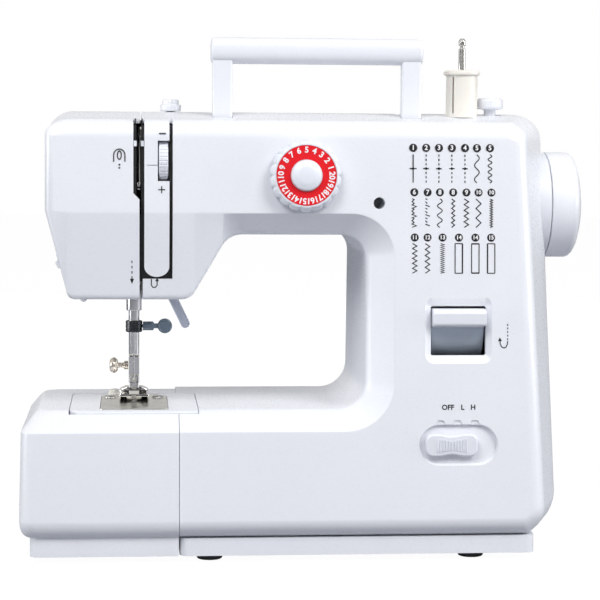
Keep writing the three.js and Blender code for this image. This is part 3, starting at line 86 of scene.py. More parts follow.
EDGE_TOP, EDGE_SIDE, EDGE_BOTTOM, EDGE_BACK = 11, 6, 11.3, 6
COLUMN_CORNER, HEAD_CORNER, CHIN_CORNER, BROW_CORNER = 17, 15, 9, 14
THROAT_CORNER_TOP, THROAT_CORNER_BED = 13.5, 17  # the opening's edge
BAND_CORNER_TOP, BAND_CORNER_BED = 25, 28  # where the band round it meets the front panel
HEAD_SLANT = 12
TAPER, TAPER_Y, TAPER_CURVE = 20, -6, 1.35  # the right side's run-in, where it starts, its curve
FAR = 400
BAND_SLOPE = BEVEL / (Z_CREASE - Z_HEAD - LIP)  # below the crease the head's face runs back


def x_side(z):
    return WHEEL_LO[0] - 2.2 + (Z_SHAFT - z) * 0.054


def front_y(z):
    return -DEPTH / 2 + max(0, z - LEAN_START) * math.tan(LEAN)


def back_y(z):
    return -front_y(z)


def head_y(z):
    return front_y(z) + max(0, Z_CREASE - z) * BAND_SLOPE


def crest_z(y):
    return Z_TOP - min(DEPTH / 2 - 25, abs(y - CREST_Y)) ** 2 / 400


# ---- Mesh helpers -----------------------------------------------------------------------------
def make_mesh(name, verts, faces):
    mesh = bpy.data.meshes.new(name)
    mesh.from_pydata([[c * MM for c in v] for v in verts], [], faces)
    bm = bmesh.new()
    bm.from_mesh(mesh)
    bmesh.ops.remove_doubles(bm, verts=bm.verts, dist=2e-7)
    bmesh.ops.recalc_face_normals(bm, faces=bm.faces)
    bm.to_mesh(mesh)
    bm.free()
    obj = bpy.data.objects.new(name, mesh)
    bpy.context.scene.collection.objects.link(obj)
    return obj


def place(axis, u, v, w):
    return {"x": (w, u, v), "y": (u, w, v), "z": (u, v, w)}[axis]


def loft(name, rings, closed=False):
    n, m = len(rings[0]), len(rings)
    verts = [p for ring in rings for p in ring]
    faces = []
    for a in range(m if closed else m - 1):
        b = (a + 1) % m
        faces += [(a * n + i, a * n + (i + 1) % n, b * n + (i + 1) % n, b * n + i) for i in range(n)]
    if not closed:
        faces += [tuple(range(n)), tuple((m - 1) * n + i for i in range(n))]
    return make_mesh(name, verts, faces)


def prism(name, axis, points, a, b):
    return loft(name, [[place(axis, p[0], p[1], w) for p in points] for w in (a, b)])


def box(name, x0, x1, y0, y1, z0, z1):
    return prism(name, "z", [(x0, y0), (x1, y0), (x1, y1), (x0, y1)], z0, z1)


def cylinder(name, axis, radius, a, b, p, q, steps=48):
    return prism(name, axis, arc(p, q, radius, radius, 0, 360, steps)[:-1], a, b)


def arc(cx, cy, rx, ry, start, end, steps):
    out = []
    for i in range(steps + 1):
        t = math.radians(start + (end - start) * i / steps)
        out.append((cx + rx * math.cos(t), cy + ry * math.sin(t)))
    return out


def fillet(points, steps=5, closed=True):
    """Rounds the corners of a polyline: a point may carry a radius as its third number."""
    out, n = [], len(points)
    for i, p in enumerate(points):
        r = p[2] if len(p) > 2 else 0
        if not r or (not closed and i in (0, n - 1)):
            out.append((p[0], p[1]))
            continue
        here = Vector(p[:2])
        a, b = Vector(points[i - 1][:2]) - here, Vector(points[(i + 1) % n][:2]) - here
        la, lb = a.length, b.length
        a, b = a / la, b / lb
        half = math.acos(max(-1, min(1, a.dot(b)))) / 2
        back = min(r / math.tan(half), 0.49 * la, 0.49 * lb)
        r = back * math.tan(half)
        c = here + (a + b).normalized() * (r / math.sin(half))
        s, e = here + a * back - c, here + b * back - c
        t0, t1 = math.atan2(s.y, s.x), math.atan2(e.y, e.x)
        turn = (t1 - t0 + math.pi) % (2 * math.pi) - math.pi
        out += [
            (c.x + r * math.cos(t0 + turn * k / steps), c.y + r * math.sin(t0 + turn * k / steps))
            for k in range(steps + 1)
        ]
    return out


def round_rect(x0, x1, y0, y1, r, steps=6):
    return fillet([(x0, y0, r), (x1, y0, r), (x1, y1, r), (x0, y1, r)], steps)


def turned(name, axis, profile, p, q, steps=64, rounds=4):
    """A turned piece from (radius, height) points, which may carry a rounding as in fillet.

    A profile that starts off the axis closes on itself.
    """
    closed = profile[0][0] > 0
    rings = []
    for r, h in fillet(profile, rounds, closed):
        ring = []
        for i in range(steps):
            t = 2 * math.pi * i / steps
            ring.append(place(axis, p + r * math.cos(t), q + r * math.sin(t), h))
        rings.append(ring)
    return loft(name, rings, closed)


def panel_prism(name, points, d0, d1, far=None):
    """A prism whose two ends follow the leaning front panel at two depths behind it."""
    near = [(x, front_y(z) + d0, z) for x, z in points]
    return loft(name, [near, [(x, front_y(z) + d1, z) for x, z in (far or points)]])


def panel_box(name, x0, x1, z0, z1, d0, d1):
    return panel_prism(name, [(x0, z0), (x1, z0), (x1, z1), (x0, z1)], d0, d1)


def bake(obj):
    graph = bpy.context.evaluated_depsgraph_get()
    mesh = bpy.data.meshes.new_from_object(obj.evaluated_get(graph))
    obj.modifiers.clear()
    old, obj.data = obj.data, mesh
    bpy.data.meshes.remove(old)
    return obj


def combine(obj, tools, operation="DIFFERENCE"):
    for tool in tools:
        mod = obj.modifiers.new("cut", "BOOLEAN")
        mod.object, mod.operation, mod.solver = tool, operation, "MANIFOLD"
    bake(obj)
    for tool in tools:
        bpy.data.objects.remove(tool)
    return obj


def copy_of(obj):
    twin = obj.copy()
    twin.data = obj.data.copy()
    bpy.context.scene.collection.objects.link(twin)
    return twin


def soften(obj, width, segments=3, angle=30):
    mod = obj.modifiers.new("edge", "BEVEL")
    mod.width, mod.segments = width * MM, segments
    mod.limit_method, mod.angle_limit = "ANGLE", math.radians(angle)
    return bake(obj)


def keep_largest(obj):
    bm = bmesh.new()
    bm.from_mesh(obj.data)
    seen, islands = set(), []
    for first in bm.verts:
        if first in seen:
            continue
        stack, island = [first], []
        seen.add(first)
        while stack:
            v = stack.pop()
            island.append(v)
            for e in v.link_edges:
                w = e.other_vert(v)
                if w not in seen:
                    seen.add(w)
                    stack.append(w)
        islands.append(island)
    islands.sort(key=len)
    bmesh.ops.delete(bm, geom=[v for island in islands[:-1] for v in island], context="VERTS")
    bm.to_mesh(obj.data)
    bm.free()
    return obj


def smooth(obj, angle=32):
    obj.data.shade_smooth()
    obj.data.set_sharp_from_angle(angle=math.radians(angle))
    mod = obj.modifiers.new("normals", "WEIGHTED_NORMAL")
    mod.keep_sharp, mod.weight = True, 70
    return bake(obj)


def join_all(name, objs):
    bm = bmesh.new()
    for obj in objs:
        bm.from_mesh(obj.data)
    mesh = bpy.data.meshes.new(name)
    bm.to_mesh(mesh)
    bm.free()
    for obj in objs:
        bpy.data.objects.remove(obj)
    out = bpy.data.objects.new(name, mesh)
    bpy.context.scene.collection.objects.link(out)
    return out


def moved(obj, matrix):
    obj.data.transform(matrix)
    return obj


# ---- Materials --------------------------------------------------------------------------------
def surface(name, color, rough, metal=0.0, vary=0.03, grain=900.0, bump=0.03, rough_vary=0.05,
            stretch=(1, 1, 1), subsurface=0.0):
    """Principled shader whose colour, roughness and relief vary finely over the surface."""
    mat = bpy.data.materials.new(name)
    mat.use_nodes = True
    nodes, links = mat.node_tree.nodes, mat.node_tree.links
    shader = nodes["Principled BSDF"]
    shader.inputs["Metallic"].default_value = metal
    shader.inputs["Subsurface Weight"].default_value = subsurface
    shader.inputs["Subsurface Scale"].default_value = 0.002
    coords = nodes.new("ShaderNodeTexCoord")
    mapping = nodes.new("ShaderNodeMapping")
    mapping.inputs["Scale"].default_value = stretch
    links.new(coords.outputs["Object"], mapping.inputs["Vector"])

    def noise(scale, detail):
        n = nodes.new("ShaderNodeTexNoise")
        n.inputs["Scale"].default_value = scale
        n.inputs["Detail"].default_value = detail
        links.new(mapping.outputs["Vector"], n.inputs["Vector"])
        return n.outputs["Fac"]

    broad = noise(18, 3)
    fine = noise(grain, 4)
    ramp = nodes.new("ShaderNodeValToRGB")
    low = [c * (1 - vary) for c in color]
    high = [min(1, c * (1 + vary)) for c in color]
    ramp.color_ramp.elements[0].position, ramp.color_ramp.elements[1].position = 0.3, 0.7
    ramp.color_ramp.elements[0].color = (*low, 1)
    ramp.color_ramp.elements[1].color = (*high, 1)
    links.new(broad, ramp.inputs["Fac"])
    links.new(ramp.outputs["Color"], shader.inputs["Base Color"])
    spread = nodes.new("ShaderNodeMapRange")
    spread.inputs["From Min"].default_value, spread.inputs["From Max"].default_value = 0.3, 0.7
    spread.inputs["To Min"].default_value = max(0.02, rough - rough_vary)
    spread.inputs["To Max"].default_value = rough + rough_vary
    links.new(fine, spread.inputs["Value"])
    links.new(spread.outputs["Result"], shader.inputs["Roughness"])
    if bump:
        relief = nodes.new("ShaderNodeBump")
        relief.inputs["Strength"].default_value = bump
        relief.inputs["Distance"].default_value = 0.0002
        links.new(fine, relief.inputs["Height"])
        links.new(relief.outputs["Normal"], shader.inputs["Normal"])
    return mat


M = {
    "casing": surface("casing_white", (0.835, 0.85, 0.895), 0.3, vary=0.01, grain=1400, bump=0.025),
    "knob": surface("knob_white", (0.80, 0.82, 0.875), 0.34, vary=0.015, grain=1100, bump=0.04),
    "cap": surface("dial_cap_white", (0.80, 0.83, 0.89), 0.36, vary=0.015, grain=1000, bump=0.06),
    "dial_red": surface("dial_red", (0.78, 0.004, 0.012), 0.38, vary=0.05, grain=900, bump=0.03),
    "black": surface("ink_black", (0.006, 0.006, 0.008), 0.45, vary=0.1, grain=700, bump=0.03),
    # painted shade: near-black for the dark seen through the thread slots
    "shadow": surface("channel_painted_shade", (0.004, 0.004, 0.005), 0.6, vary=0.1, grain=500, bump=0.05),
    "rubber": surface("rubber_grey", (0.05, 0.05, 0.055), 0.75, vary=0.12, grain=600, bump=0.15),
    "ivory": surface("ivory_plastic", (0.86, 0.83, 0.76), 0.36, vary=0.02, grain=900, bump=0.04,
                     subsurface=0.05),
    "lifter": surface("lifter_plastic", (0.60, 0.64, 0.75), 0.34, vary=0.04, grain=900, bump=0.05),
    "clamp_grey": surface("clamp_screw_plastic", (0.17, 0.22, 0.28), 0.34, vary=0.05, grain=900,
                          bump=0.05),
    # painted shade: the lever scoop is tinted darker and bluer than the knob for the shade in its recess
    "scoop": surface("lever_scoop_painted_shade", (0.62, 0.70, 0.80), 0.4, vary=0.03, grain=900, bump=0.04),
    "chrome": surface("polished_chrome", (0.86, 0.845, 0.82), 0.06, 1.0, 0.03, 500, 0.004, 0.02),
    "plate": surface("brushed_plate", (0.74, 0.735, 0.70), 0.34, 1.0, 0.06, 240, 0.05, 0.08,
                     stretch=(1, 8, 1)),
    "steel": surface("satin_steel", (0.60, 0.59, 0.57), 0.27, 1.0, 0.06, 260, 0.05, 0.08,
                     stretch=(1, 8, 1)),
    "alloy": surface("cast_alloy", (0.48, 0.49, 0.50), 0.5, 1.0, 0.08, 400, 0.25, 0.1),
    "brass": surface("nickel_brass", (0.80, 0.73, 0.64), 0.24, 1.0, 0.05, 500, 0.03, 0.06),
    "bronze": surface("sintered_bronze", (0.55, 0.36, 0.18), 0.42, 1.0, 0.08, 700, 0.1, 0.08),
    "dark_steel": surface("blackened_steel", (0.075, 0.078, 0.085), 0.26, 1.0, 0.15, 400, 0.08, 0.08),
    "lens": surface("lamp_lens", (0.86, 0.88, 0.92), 0.18, 0.0, 0.02, 300, 0.02, 0.03),
    "board": surface("circuit_board", (0.02, 0.16, 0.06), 0.45, 0.0, 0.25, 300, 0.1, 0.1),
    "white_ink": surface("white_ink", (0.9, 0.9, 0.92), 0.4, vary=0.01, bump=0.0),
    "faint": surface("faint_grey_ink", (0.32, 0.33, 0.36), 0.45, vary=0.05, bump=0.0),
}


def put(obj, body, slot, material, *nodes):
    obj.data.materials.clear()
    obj.data.materials.append(M[material])
    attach(obj, body)
    if nodes:
        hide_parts(*nodes)
    return obj


# ---- The C-shaped body ------------------------------------------------------------------------
STEPS = 12  # segments in each rounded corner of the outline


def outline():
    """Outline points: silhouette (x, z), where it meets the front panel, band flag, crown."""
    out = []

    def add(edge, face, band=False, crown=lambda t: 0):
        last = max(1, len(edge) - 1)
        for i, (e, f) in enumerate(zip(edge, face)):
            out.append((e[0], e[1], f[0], f[1], band, crown(i / last)))

    r = COLUMN_CORNER
    base, arm = x_side(Z_CASE + r), x_side(Z_TOP - r)
    add([(X_SEAM, Z_CASE)], [(X_SEAM, Z_CASE + EDGE_BOTTOM)])
    add(arc(base - r, Z_CASE + r, r, r, -90, 0, STEPS),
        arc(base - r, Z_CASE + r, r - EDGE_SIDE, r - EDGE_BOTTOM, -90, 0, STEPS))
    add(arc(arm - r, Z_TOP - r, r, r, 0, 90, STEPS),
        arc(arm - r, Z_TOP - r, r - EDGE_SIDE, r - EDGE_TOP, 0, 90, STEPS), False,
        lambda t: math.sin(t * math.pi / 2))
    s = HEAD_CORNER
    add(arc(X_HEAD + s, Z_TOP - s, s, s, 90, 180, STEPS),
        arc(X_HEAD + s, Z_TOP - s, s - EDGE_SIDE, s - EDGE_TOP, 90, 180, STEPS), False,
        lambda t: math.cos(t * math.pi / 2))
    add([(X_HEAD, Z_CREASE + 1)], [(X_HEAD + EDGE_SIDE, Z_CREASE + 1)])

    def on_crease(points, floor):
        return [(max(x, floor + i * 0.15), Z_CREASE) for i, (x, _) in enumerate(points)]

    corner = arc(X_HEAD + HEAD_SLANT + 5, Z_HEAD + 5, 5, 5, 180, 270, 8)
    add(corner, on_crease(corner, X_HEAD + EDGE_SIDE + 0.4), True)
    chin = arc(X_HEAD_RIGHT - 1.5, Z_HEAD + CHIN_CORNER, CHIN_CORNER, CHIN_CORNER, -90, -31, 8)
    add(chin, on_crease(chin, X_HEAD), True)
    brow = arc(X_HEAD_RIGHT + 34, Z_THROAT - BROW_CORNER, BROW_CORNER, BROW_CORNER, 149, 90, 10)
    add(brow, on_crease(brow, X_HEAD), True)
    rt, rb, bt, bb = THROAT_CORNER_TOP, THROAT_CORNER_BED, BAND_CORNER_TOP, BAND_CORNER_BED
    add(arc(X_COLUMN - rt, Z_THROAT - rt, rt, rt, 90, 0, STEPS),
        arc(X_COLUMN + BAND_SIDE - bt, Z_CREASE - bt, bt, bt, 90, 0, STEPS), True)
    add(arc(X_COLUMN - rb, BED_TOP + rb, rb, rb, 0, -90, STEPS),
        arc(X_COLUMN + BAND_SIDE - bb, BED_TOP - BAND_BED + bb, bb, bb, 0, -90, STEPS), True)
    add([(X_SEAM, BED_TOP)], [(X_SEAM, BED_TOP - BAND_BED)], True)
    return out


def outline_normals(points):
    def edge(a, b):
        d = Vector((b[0] - a[0], b[1] - a[1])).normalized()
        return d.y, -d.x

    out, n = [], len(points)
    for i, p in enumerate(points):
        (ax, az), (bx, bz) = edge(points[i - 1], p), edge(p, points[(i + 1) % n])
        k = 1 + ax * bx + az * bz
        out.append(((ax + bx) / k, (az + bz) / k))
    return out


def rounding(length, band):
    """(share of the way left to the silhouette, depth) at eleven stations of the front edge."""
    if not band:
        turn = [math.radians(9 * i) for i in range(11)]
        return [(1 - math.sin(t), length * (1 - math.cos(t))) for t in turn]
    end = LIP / length
    run = math.hypot(length - LIP, BEVEL)
    ease = 1.1 / run
    out = [(1 + 1.1 / length, 0.0), (1 - 0.25 * ease * (1 - end), 0.2),
           (1 - ease * (1 - end), ease * BEVEL)]
    out.append((1 - 0.5 * (1 - end), 0.5 * BEVEL))
    corner = BEVEL + LIP * BEVEL / (length - LIP)
    for i in range(7):
        t = i / 6
        s = end * (1 - t) ** 2
        d = BEVEL * (1 - t) ** 2 + 2 * corner * t * (1 - t) + (corner + 2.6) * t * t
        out.append((s, d))
    return out


def taper(point):
    """In plan the front cover's right side runs in towards the front, in one long curve."""
    x, y, z = point
    far, near = x_side(z) - EDGE_SIDE - 2, X_COLUMN + 80
    along = min(1, max(0, (x - near) / (far - near)))
    ahead = min(1, max(0, (TAPER_Y - y) / (TAPER_Y - front_y(z))))
    return x - TAPER * ahead ** TAPER_CURVE * along, y, z


def body_solid(inset):
    points = outline()
    normals = outline_normals(points)
    edges = [rounding(math.hypot(p[0] - p[2], p[1] - p[3]), p[4]) for p in points]

    def drop(y):
        return Z_TOP - crest_z(y)

    rings = []
    for k in range(11):
        ring = []
        for p, n, e in zip(points, normals, edges):
            s, d = e[k]
            x = p[0] + (p[2] - p[0]) * s - n[0] * inset
            z = p[1] + (p[3] - p[1]) * s - n[1] * inset
            y = front_y(z) + d + inset
            ring.append((x, y, z - p[5] * drop(y)))
        rings.append(ring)
    for y in (-36, -29, -22, -15, -8, 0, 8, 16, 24, 32, 38, 43):
        rings.append([(p[0] - n[0] * inset, y * (1 if inset == 0 else 0.97),
                       p[1] - n[1] * inset - p[5] * drop(y))
                      for p, n in zip(points, normals)])
    for i in range(7):
        t = math.radians(15 * i)
        d, k = EDGE_BACK * (1 - math.sin(t)), EDGE_BACK * (1 - math.cos(t))
        ring = []
        for p, n in zip(points, normals):
            x = p[0] - n[0] * inset - (n[0] * k if p[0] != X_SEAM else 0)
            z = p[1] - n[1] * (inset + k)
            y = back_y(z) - d - inset
            ring.append((x, y, z - p[5] * drop(y)))
        rings.append(ring)
    return loft("body", [[taper(point) for point in ring] for ring in rings])


SLOT_X0, SLOT_Z0, SLOT_Z1 = X_NEEDLE - 0.4, Z_CREASE + 11, Z_TOP - 4
STRIP_X0, STRIP_X1, STRIP_Z0 = X_NEEDLE + 5.9, X_NEEDLE + 20.3, Z_HEAD + 13.4
SLOT_RIGHT = STRIP_X1 + 1.9
TENSION_X0, TENSION_X1 = span("tension_dial")[0][0], span("tension_dial")[1][0]
TENSION_Z = middle("tension_dial")[2]
DIAL_X, DIAL_Z = X_COLUMN - 36.7, Z_CREASE + 21.4
HOLE_X, HOLE_Z, HOLE_R = X_COLUMN + 6.4, Z_CREASE + 6, 3.4
LEVER_X0, LEVER_X1, LEVER_Z0, LEVER_Z1 = X_COLUMN + 37, X_COLUMN + 69.4, Z_THROAT - 74.6, Z_THROAT - 40.8
SLIDER_X0, SLIDER_X1, SLIDER_Z0, SLIDER_Z1 = X_COLUMN + 30, X_COLUMN + 76.4, BED_TOP - 31.4, BED_TOP - 7.4
SLIDER_Z = (SLIDER_Z0 + SLIDER_Z1) / 2
HANDLE_X0, HANDLE_X1 = X_COLUMN - 89.2, X_COLUMN - 89.2 + 123.9
HANDLE_LEG, HANDLE_Y, HANDLE_DEPTH = 11.6, -24, 9
PIVOT_Z = Z_TOP - 11
POST_X, POST_Y = middle("spool_pin")[0], middle("spool_pin")[1]
POST_R = 9.4
WINDER_X, WINDER_Y = X_COLUMN + 79.1, -10
GUIDE_X, GUIDE_Y = X_NEEDLE + 22, 4
ARM_X0, ARM_X1, ARM_Y0, ARM_Y1, ARM_Z0 = X_NEEDLE - 37.4, X_NEEDLE + 37.3, -54, 26, 46
SOCKET_Y, SOCKET_Z = 24, 46
PLATE = (X_NEEDLE - 19.6, X_NEEDLE + 19.8, -49, 20)
PLATE_SCREW_DX, PLATE_SCREW_Y = 14.4, 2
BACK_SCREWS = (
    (X_HEAD + 20, Z_TOP - 22), (X_COLUMN + 100, Z_TOP - 24), (X_COLUMN + 98, Z_CASE + 20),
    (X_SEAM + 16, Z_CASE + 20), (X_COLUMN + 34, Z_CREASE),
)


def openings():
    """Cutters of every opening through the casing."""
    def pocket(x):
        return box("c", x - 0.4, x + HANDLE_LEG + 0.4, HANDLE_Y - HANDLE_DEPTH / 2 - 2.5, CREST_Y + 8,
                   PIVOT_Z - 8, FAR)

    recess = round_rect(LEVER_X0 - 3.6, LEVER_X1 + 3.4, LEVER_Z0 + 0.4, LEVER_Z1 + 5.6, 5.5)
    window = round_rect(LEVER_X0, LEVER_X1, LEVER_Z0 + 5, LEVER_Z1, 1.2)
    hollow = panel_prism("c", recess, -0.01, 2.7, window)
    r = (SLIDER_Z1 - SLIDER_Z0) / 2
    stadium = arc(SLIDER_X1 - r, SLIDER_Z, r, r, -90, 90, 16)
    stadium += arc(SLIDER_X0 + r, SLIDER_Z, r, r, 90, 270, 16)
    inset = [(x + (0.8 if x < SLIDER_X0 + 15 else -0.8 if x > SLIDER_X1 - 15 else 0),
              SLIDER_Z + (z - SLIDER_Z) * 0.93) for x, z in stadium]
    out = [
        panel_box("c", SLOT_X0, FACE_SPLIT + 1, SLOT_Z0, SLOT_Z1, -2, 12),
        prism("c", "y", [(SLOT_X0, SLOT_Z0 + 0.1), (FACE_SPLIT, SLOT_Z0 - 4.5),
                         (FACE_SPLIT + 1, SLOT_Z0 + 0.1)],
              -DEPTH, front_y(SLOT_Z0) + 12),
        panel_box("c", FACE_SPLIT - 1, SLOT_RIGHT, STRIP_Z0 - 1.2, SLOT_Z1, -2, 14),
        panel_box("c", FACE_SPLIT - 0.9, FACE_SPLIT + 0.9, Z_HEAD - 3, STRIP_Z0, -2, 18),
        box("c", X_NEEDLE - 20, X_NEEDLE + 16, NEEDLE_Y - 13, PRESS_Y + 11, Z_HEAD - 2,
            Z_HEAD + WALL + 1.5),
        box("c", X_NEEDLE + 11.4, X_HEAD_RIGHT + 16, PRESS_Y + 12.3, PRESS_Y + 22.3, Z_HEAD - 2,
            Z_HEAD + 12),
        box("c", X_SEAM - 1, X_SEAM + WALL + 1, ARM_Y0 + WALL, ARM_Y1 - WALL, ARM_Z0 + WALL,
            BED_TOP - WALL),
        box("c", X_SEAM - 1, ARM_X1 + 0.4, ARM_Y0 - 0.4, ARM_Y1 + 0.4, BED_TOP - WALL - 0.4, BED_TOP + 1),
        cylinder("c", "y", 5, -DEPTH, front_y(DIAL_Z) + 12, DIAL_X, DIAL_Z),
        hollow,
        panel_prism("c", window, 2.6, 9),
        panel_prism("c", stadium, -0.01, 2.5, inset),
        *[panel_prism("c", fillet([(x + 4, SLIDER_Z1 - 1.5), (x + 3, SLIDER_Z1 + 0.2, 0.8),
                                   (x + 1.8, SLIDER_Z1 + 2.3, 0.8),
                                   (x - 1.8, SLIDER_Z1 + 2.3, 0.8), (x - 3, SLIDER_Z1 + 0.2, 0.8),
                                   (x - 4, SLIDER_Z1 - 1.5)]),
                      -0.01, 0.7) for x in [X_COLUMN + dx for dx in (62.7, 52.4, 42.6)]],
        panel_box("c", SLIDER_X0 + 9, SLIDER_X0 + 25, SLIDER_Z0 + 9, SLIDER_Z1 - 9, 2, 12),
        cylinder("c", "z", POST_R - 1.6, Z_TOP - 22, FAR, POST_X, POST_Y),
        box("c", WINDER_X - 3.9, WINDER_X + 6.9, WINDER_Y - 3.9, WINDER_Y + 3.9, Z_TOP - 12, FAR),
        cylinder("c", "z", 3, Z_TOP - 12, FAR, GUIDE_X, GUIDE_Y),
        pocket(HANDLE_X0),
        pocket(HANDLE_X1 - HANDLE_LEG),
        cylinder("c", "x", 6, x_side(Z_SHAFT) - 8, FAR, SHAFT_Y, Z_SHAFT),
        box("c", x_side(SOCKET_Z) - 9, FAR, SOCKET_Y - 14, SOCKET_Y + 14, SOCKET_Z - 8, SOCKET_Z + 8),
        cylinder("c", "y", HOLE_R, -DEPTH, front_y(HOLE_Z) + 24, HOLE_X, HOLE_Z),
        cylinder("c", "x", 2.6, HANDLE_X0 - 2, HANDLE_X0 + HANDLE_LEG + 2, HANDLE_Y, PIVOT_Z),
        cylinder("c", "x", 2.6, HANDLE_X1 - HANDLE_LEG - 2, HANDLE_X1 + 2, HANDLE_Y, PIVOT_Z),
        box("c", X_SEAM + WALL, x_side(Z_CASE) - 27, -DEPTH / 2 + 12, DEPTH / 2 - 10, Z_CASE - 1,
            Z_CASE + WALL + 1),
    ]
    for x, z in BACK_SCREWS:
        out.append(cylinder("c", "y", 3.4, back_y(z) - 9, FAR, x, z))
    return out


def keep_right(obj):
    """Drops what lies to the left of the casing's tapered side."""
    return combine(obj, [box("k", -FAR, x_side(Z_SHAFT) - TAPER - 12, -FAR, FAR, -FAR, FAR)])


def casing():
    skin = body_solid(0)
    shell = combine(copy_of(skin), [body_solid(WALL)])
    ribs = []
    for x in (HANDLE_X0, HANDLE_X1 - HANDLE_LEG):
        ribs.append(box("r", x - 2.4, x + HANDLE_LEG + 2.4, HANDLE_Y - HANDLE_DEPTH / 2 - 4.5, SPLIT_Y - 1,
                        PIVOT_Z - 10, FAR))
    ribs.append(panel_box("r", SLIDER_X0 - 2, SLIDER_X1 + 2, SLIDER_Z0 - 2, SLIDER_Z1 + 4, 1, 5))
    ribs.append(panel_box("r", LEVER_X0 - 4, LEVER_X1 + 4, LEVER_Z0, LEVER_Z1 + 6, 1, 5.4))
    ribs.append(cylinder("r", "y", HOLE_R + 1.6, front_y(HOLE_Z) + 1, front_y(HOLE_Z) + 26, HOLE_X, HOLE_Z))
    for x, z in BACK_SCREWS:
        ribs.append(cylinder("r", "y", 5.2, back_y(z) - 11, back_y(z) - 1, x, z))
    for rib in ribs:
        combine(rib, [copy_of(skin)], "INTERSECT")
    boss = cylinder("b", "x", (WHEEL_HI[2] - WHEEL_LO[2]) / 2 - 0.3, X_COLUMN + 80, WHEEL_LO[0] - 0.5,
                    SHAFT_Y, Z_SHAFT, 128)
    combine(boss, [body_solid(WALL)])
    combine(shell, [*ribs, keep_right(boss)], "UNION")
    bpy.data.objects.remove(skin)
    combine(shell, openings())
    halves = {
        "front_cover": box("h", FACE_SPLIT + 0.4, FAR, -FAR, SPLIT_Y - 0.15, -FAR, FAR),
        "rear_cover": box("h", FACE_SPLIT + 0.4, FAR, SPLIT_Y + 0.15, FAR, -FAR, FAR),
        "face_cover": box("h", -FAR, FACE_SPLIT - 0.4, -FAR, FAR, -FAR, FAR),
    }
    for node, half in halves.items():
        part = combine(copy_of(shell), [half], "INTERSECT")
        part.name = node + "_skin"
        smooth(keep_largest(part), 28)
        put(part, "machine", "casing", "casing", node)
    bpy.data.objects.remove(shell)


def thread_strip():
    skin = combine(body_solid(0), [body_solid(WALL)])
    r = (STRIP_X1 - STRIP_X0) / 2
    shape = arc(STRIP_X0 + r, STRIP_Z0 + 6, r, 6, 180, 360, 24)
    shape += [(STRIP_X1, SLOT_Z1 - 0.4), (STRIP_X0, SLOT_Z1 - 0.4)]
    combine(skin, [prism("s", "y", shape, -DEPTH, front_y(Z_TOP) + 12.5)], "INTERSECT")
    window = panel_box("w", TENSION_X0 - 0.6, STRIP_X1 + 1, TENSION_Z - 11.6, TENSION_Z + 11.6, -2, 12)
    combine(skin, [window])
    skin.name = "thread_strip_bar"
    put(smooth(keep_largest(skin), 28), "machine", "casing", "casing", "thread_strip")


def thread_channel():
    """Near-black sheet just behind the slots, painted shade for the dark inside of the head; open where the
    take-up lever and the wheel pass.
    """
    top, low = Z_TOP - 9, STRIP_Z0 - 3
    heights = [low + (top - low) * i / 24 for i in range(25)]
    rings = [[(SLOT_X0 - 3, head_y(z) + 3.1, z), (SLOT_RIGHT + 3, head_y(z) + 3.1, z),
              (SLOT_RIGHT + 3, head_y(z) + 4.2, z), (SLOT_X0 - 3, head_y(z) + 4.2, z)] for z in heights]
    back = loft("thread_channel_back", rings)
    lane = panel_box("l", X_NEEDLE + 1.3, X_NEEDLE + 4.1, SLOT_Z0 - 12, SLOT_Z1 - 3, -5, 20)
    wheel = panel_box("l", TENSION_X0 - 0.7, TENSION_X1 + 0.7, TENSION_Z - 15.5, TENSION_Z + 15.5, -5, 30)
    combine(back, [lane, wheel])
    lane_z = (SLOT_Z0 - 13, SLOT_Z1 - 1)
    walls = [
        panel_box("w", X_NEEDLE + 0.5, X_NEEDLE + 1.1, *lane_z, 4.4, 34),
        panel_box("w", X_NEEDLE + 4.3, X_NEEDLE + 4.9, *lane_z, 4.4, 34),
        box("w", X_NEEDLE - 3, X_NEEDLE + 9, 22, 23, *lane_z),
    ]
    # the near-black sheet and its lane walls are painted shade seen through the slots
    put(smooth(join_all("thread_channel_painted_shade", [back, *walls])), "machine", "black", "shadow",
        "thread_channel")
    bars = [panel_box("b", a, b, Z_CREASE + 38, Z_CREASE + 41.2, 1.6, 2.6)
            for a, b in ((SLOT_X0 + 0.2, X_NEEDLE + 1.5), (X_NEEDLE + 3.9, STRIP_X0 - 0.2))]
    put(smooth(join_all("thread_guide_bar", bars)), "machine", "satin_steel", "lens")


def table_ring(z, inset, side):
    left = TABLE_LO[0] + (z - LEAN_START) * 0.02 + inset * 0.6
    y0, y1, r = front_y(z) + inset, back_y(z) - inset, 9
    points = [(side, y0), (side, y1)] + arc(left + r, y1 - r, r, r, 90, 180, 12)
    points += arc(left + r, y0 + r, r, r, 180, 270, 12)
    return [(x, y, z) for x, y in points]


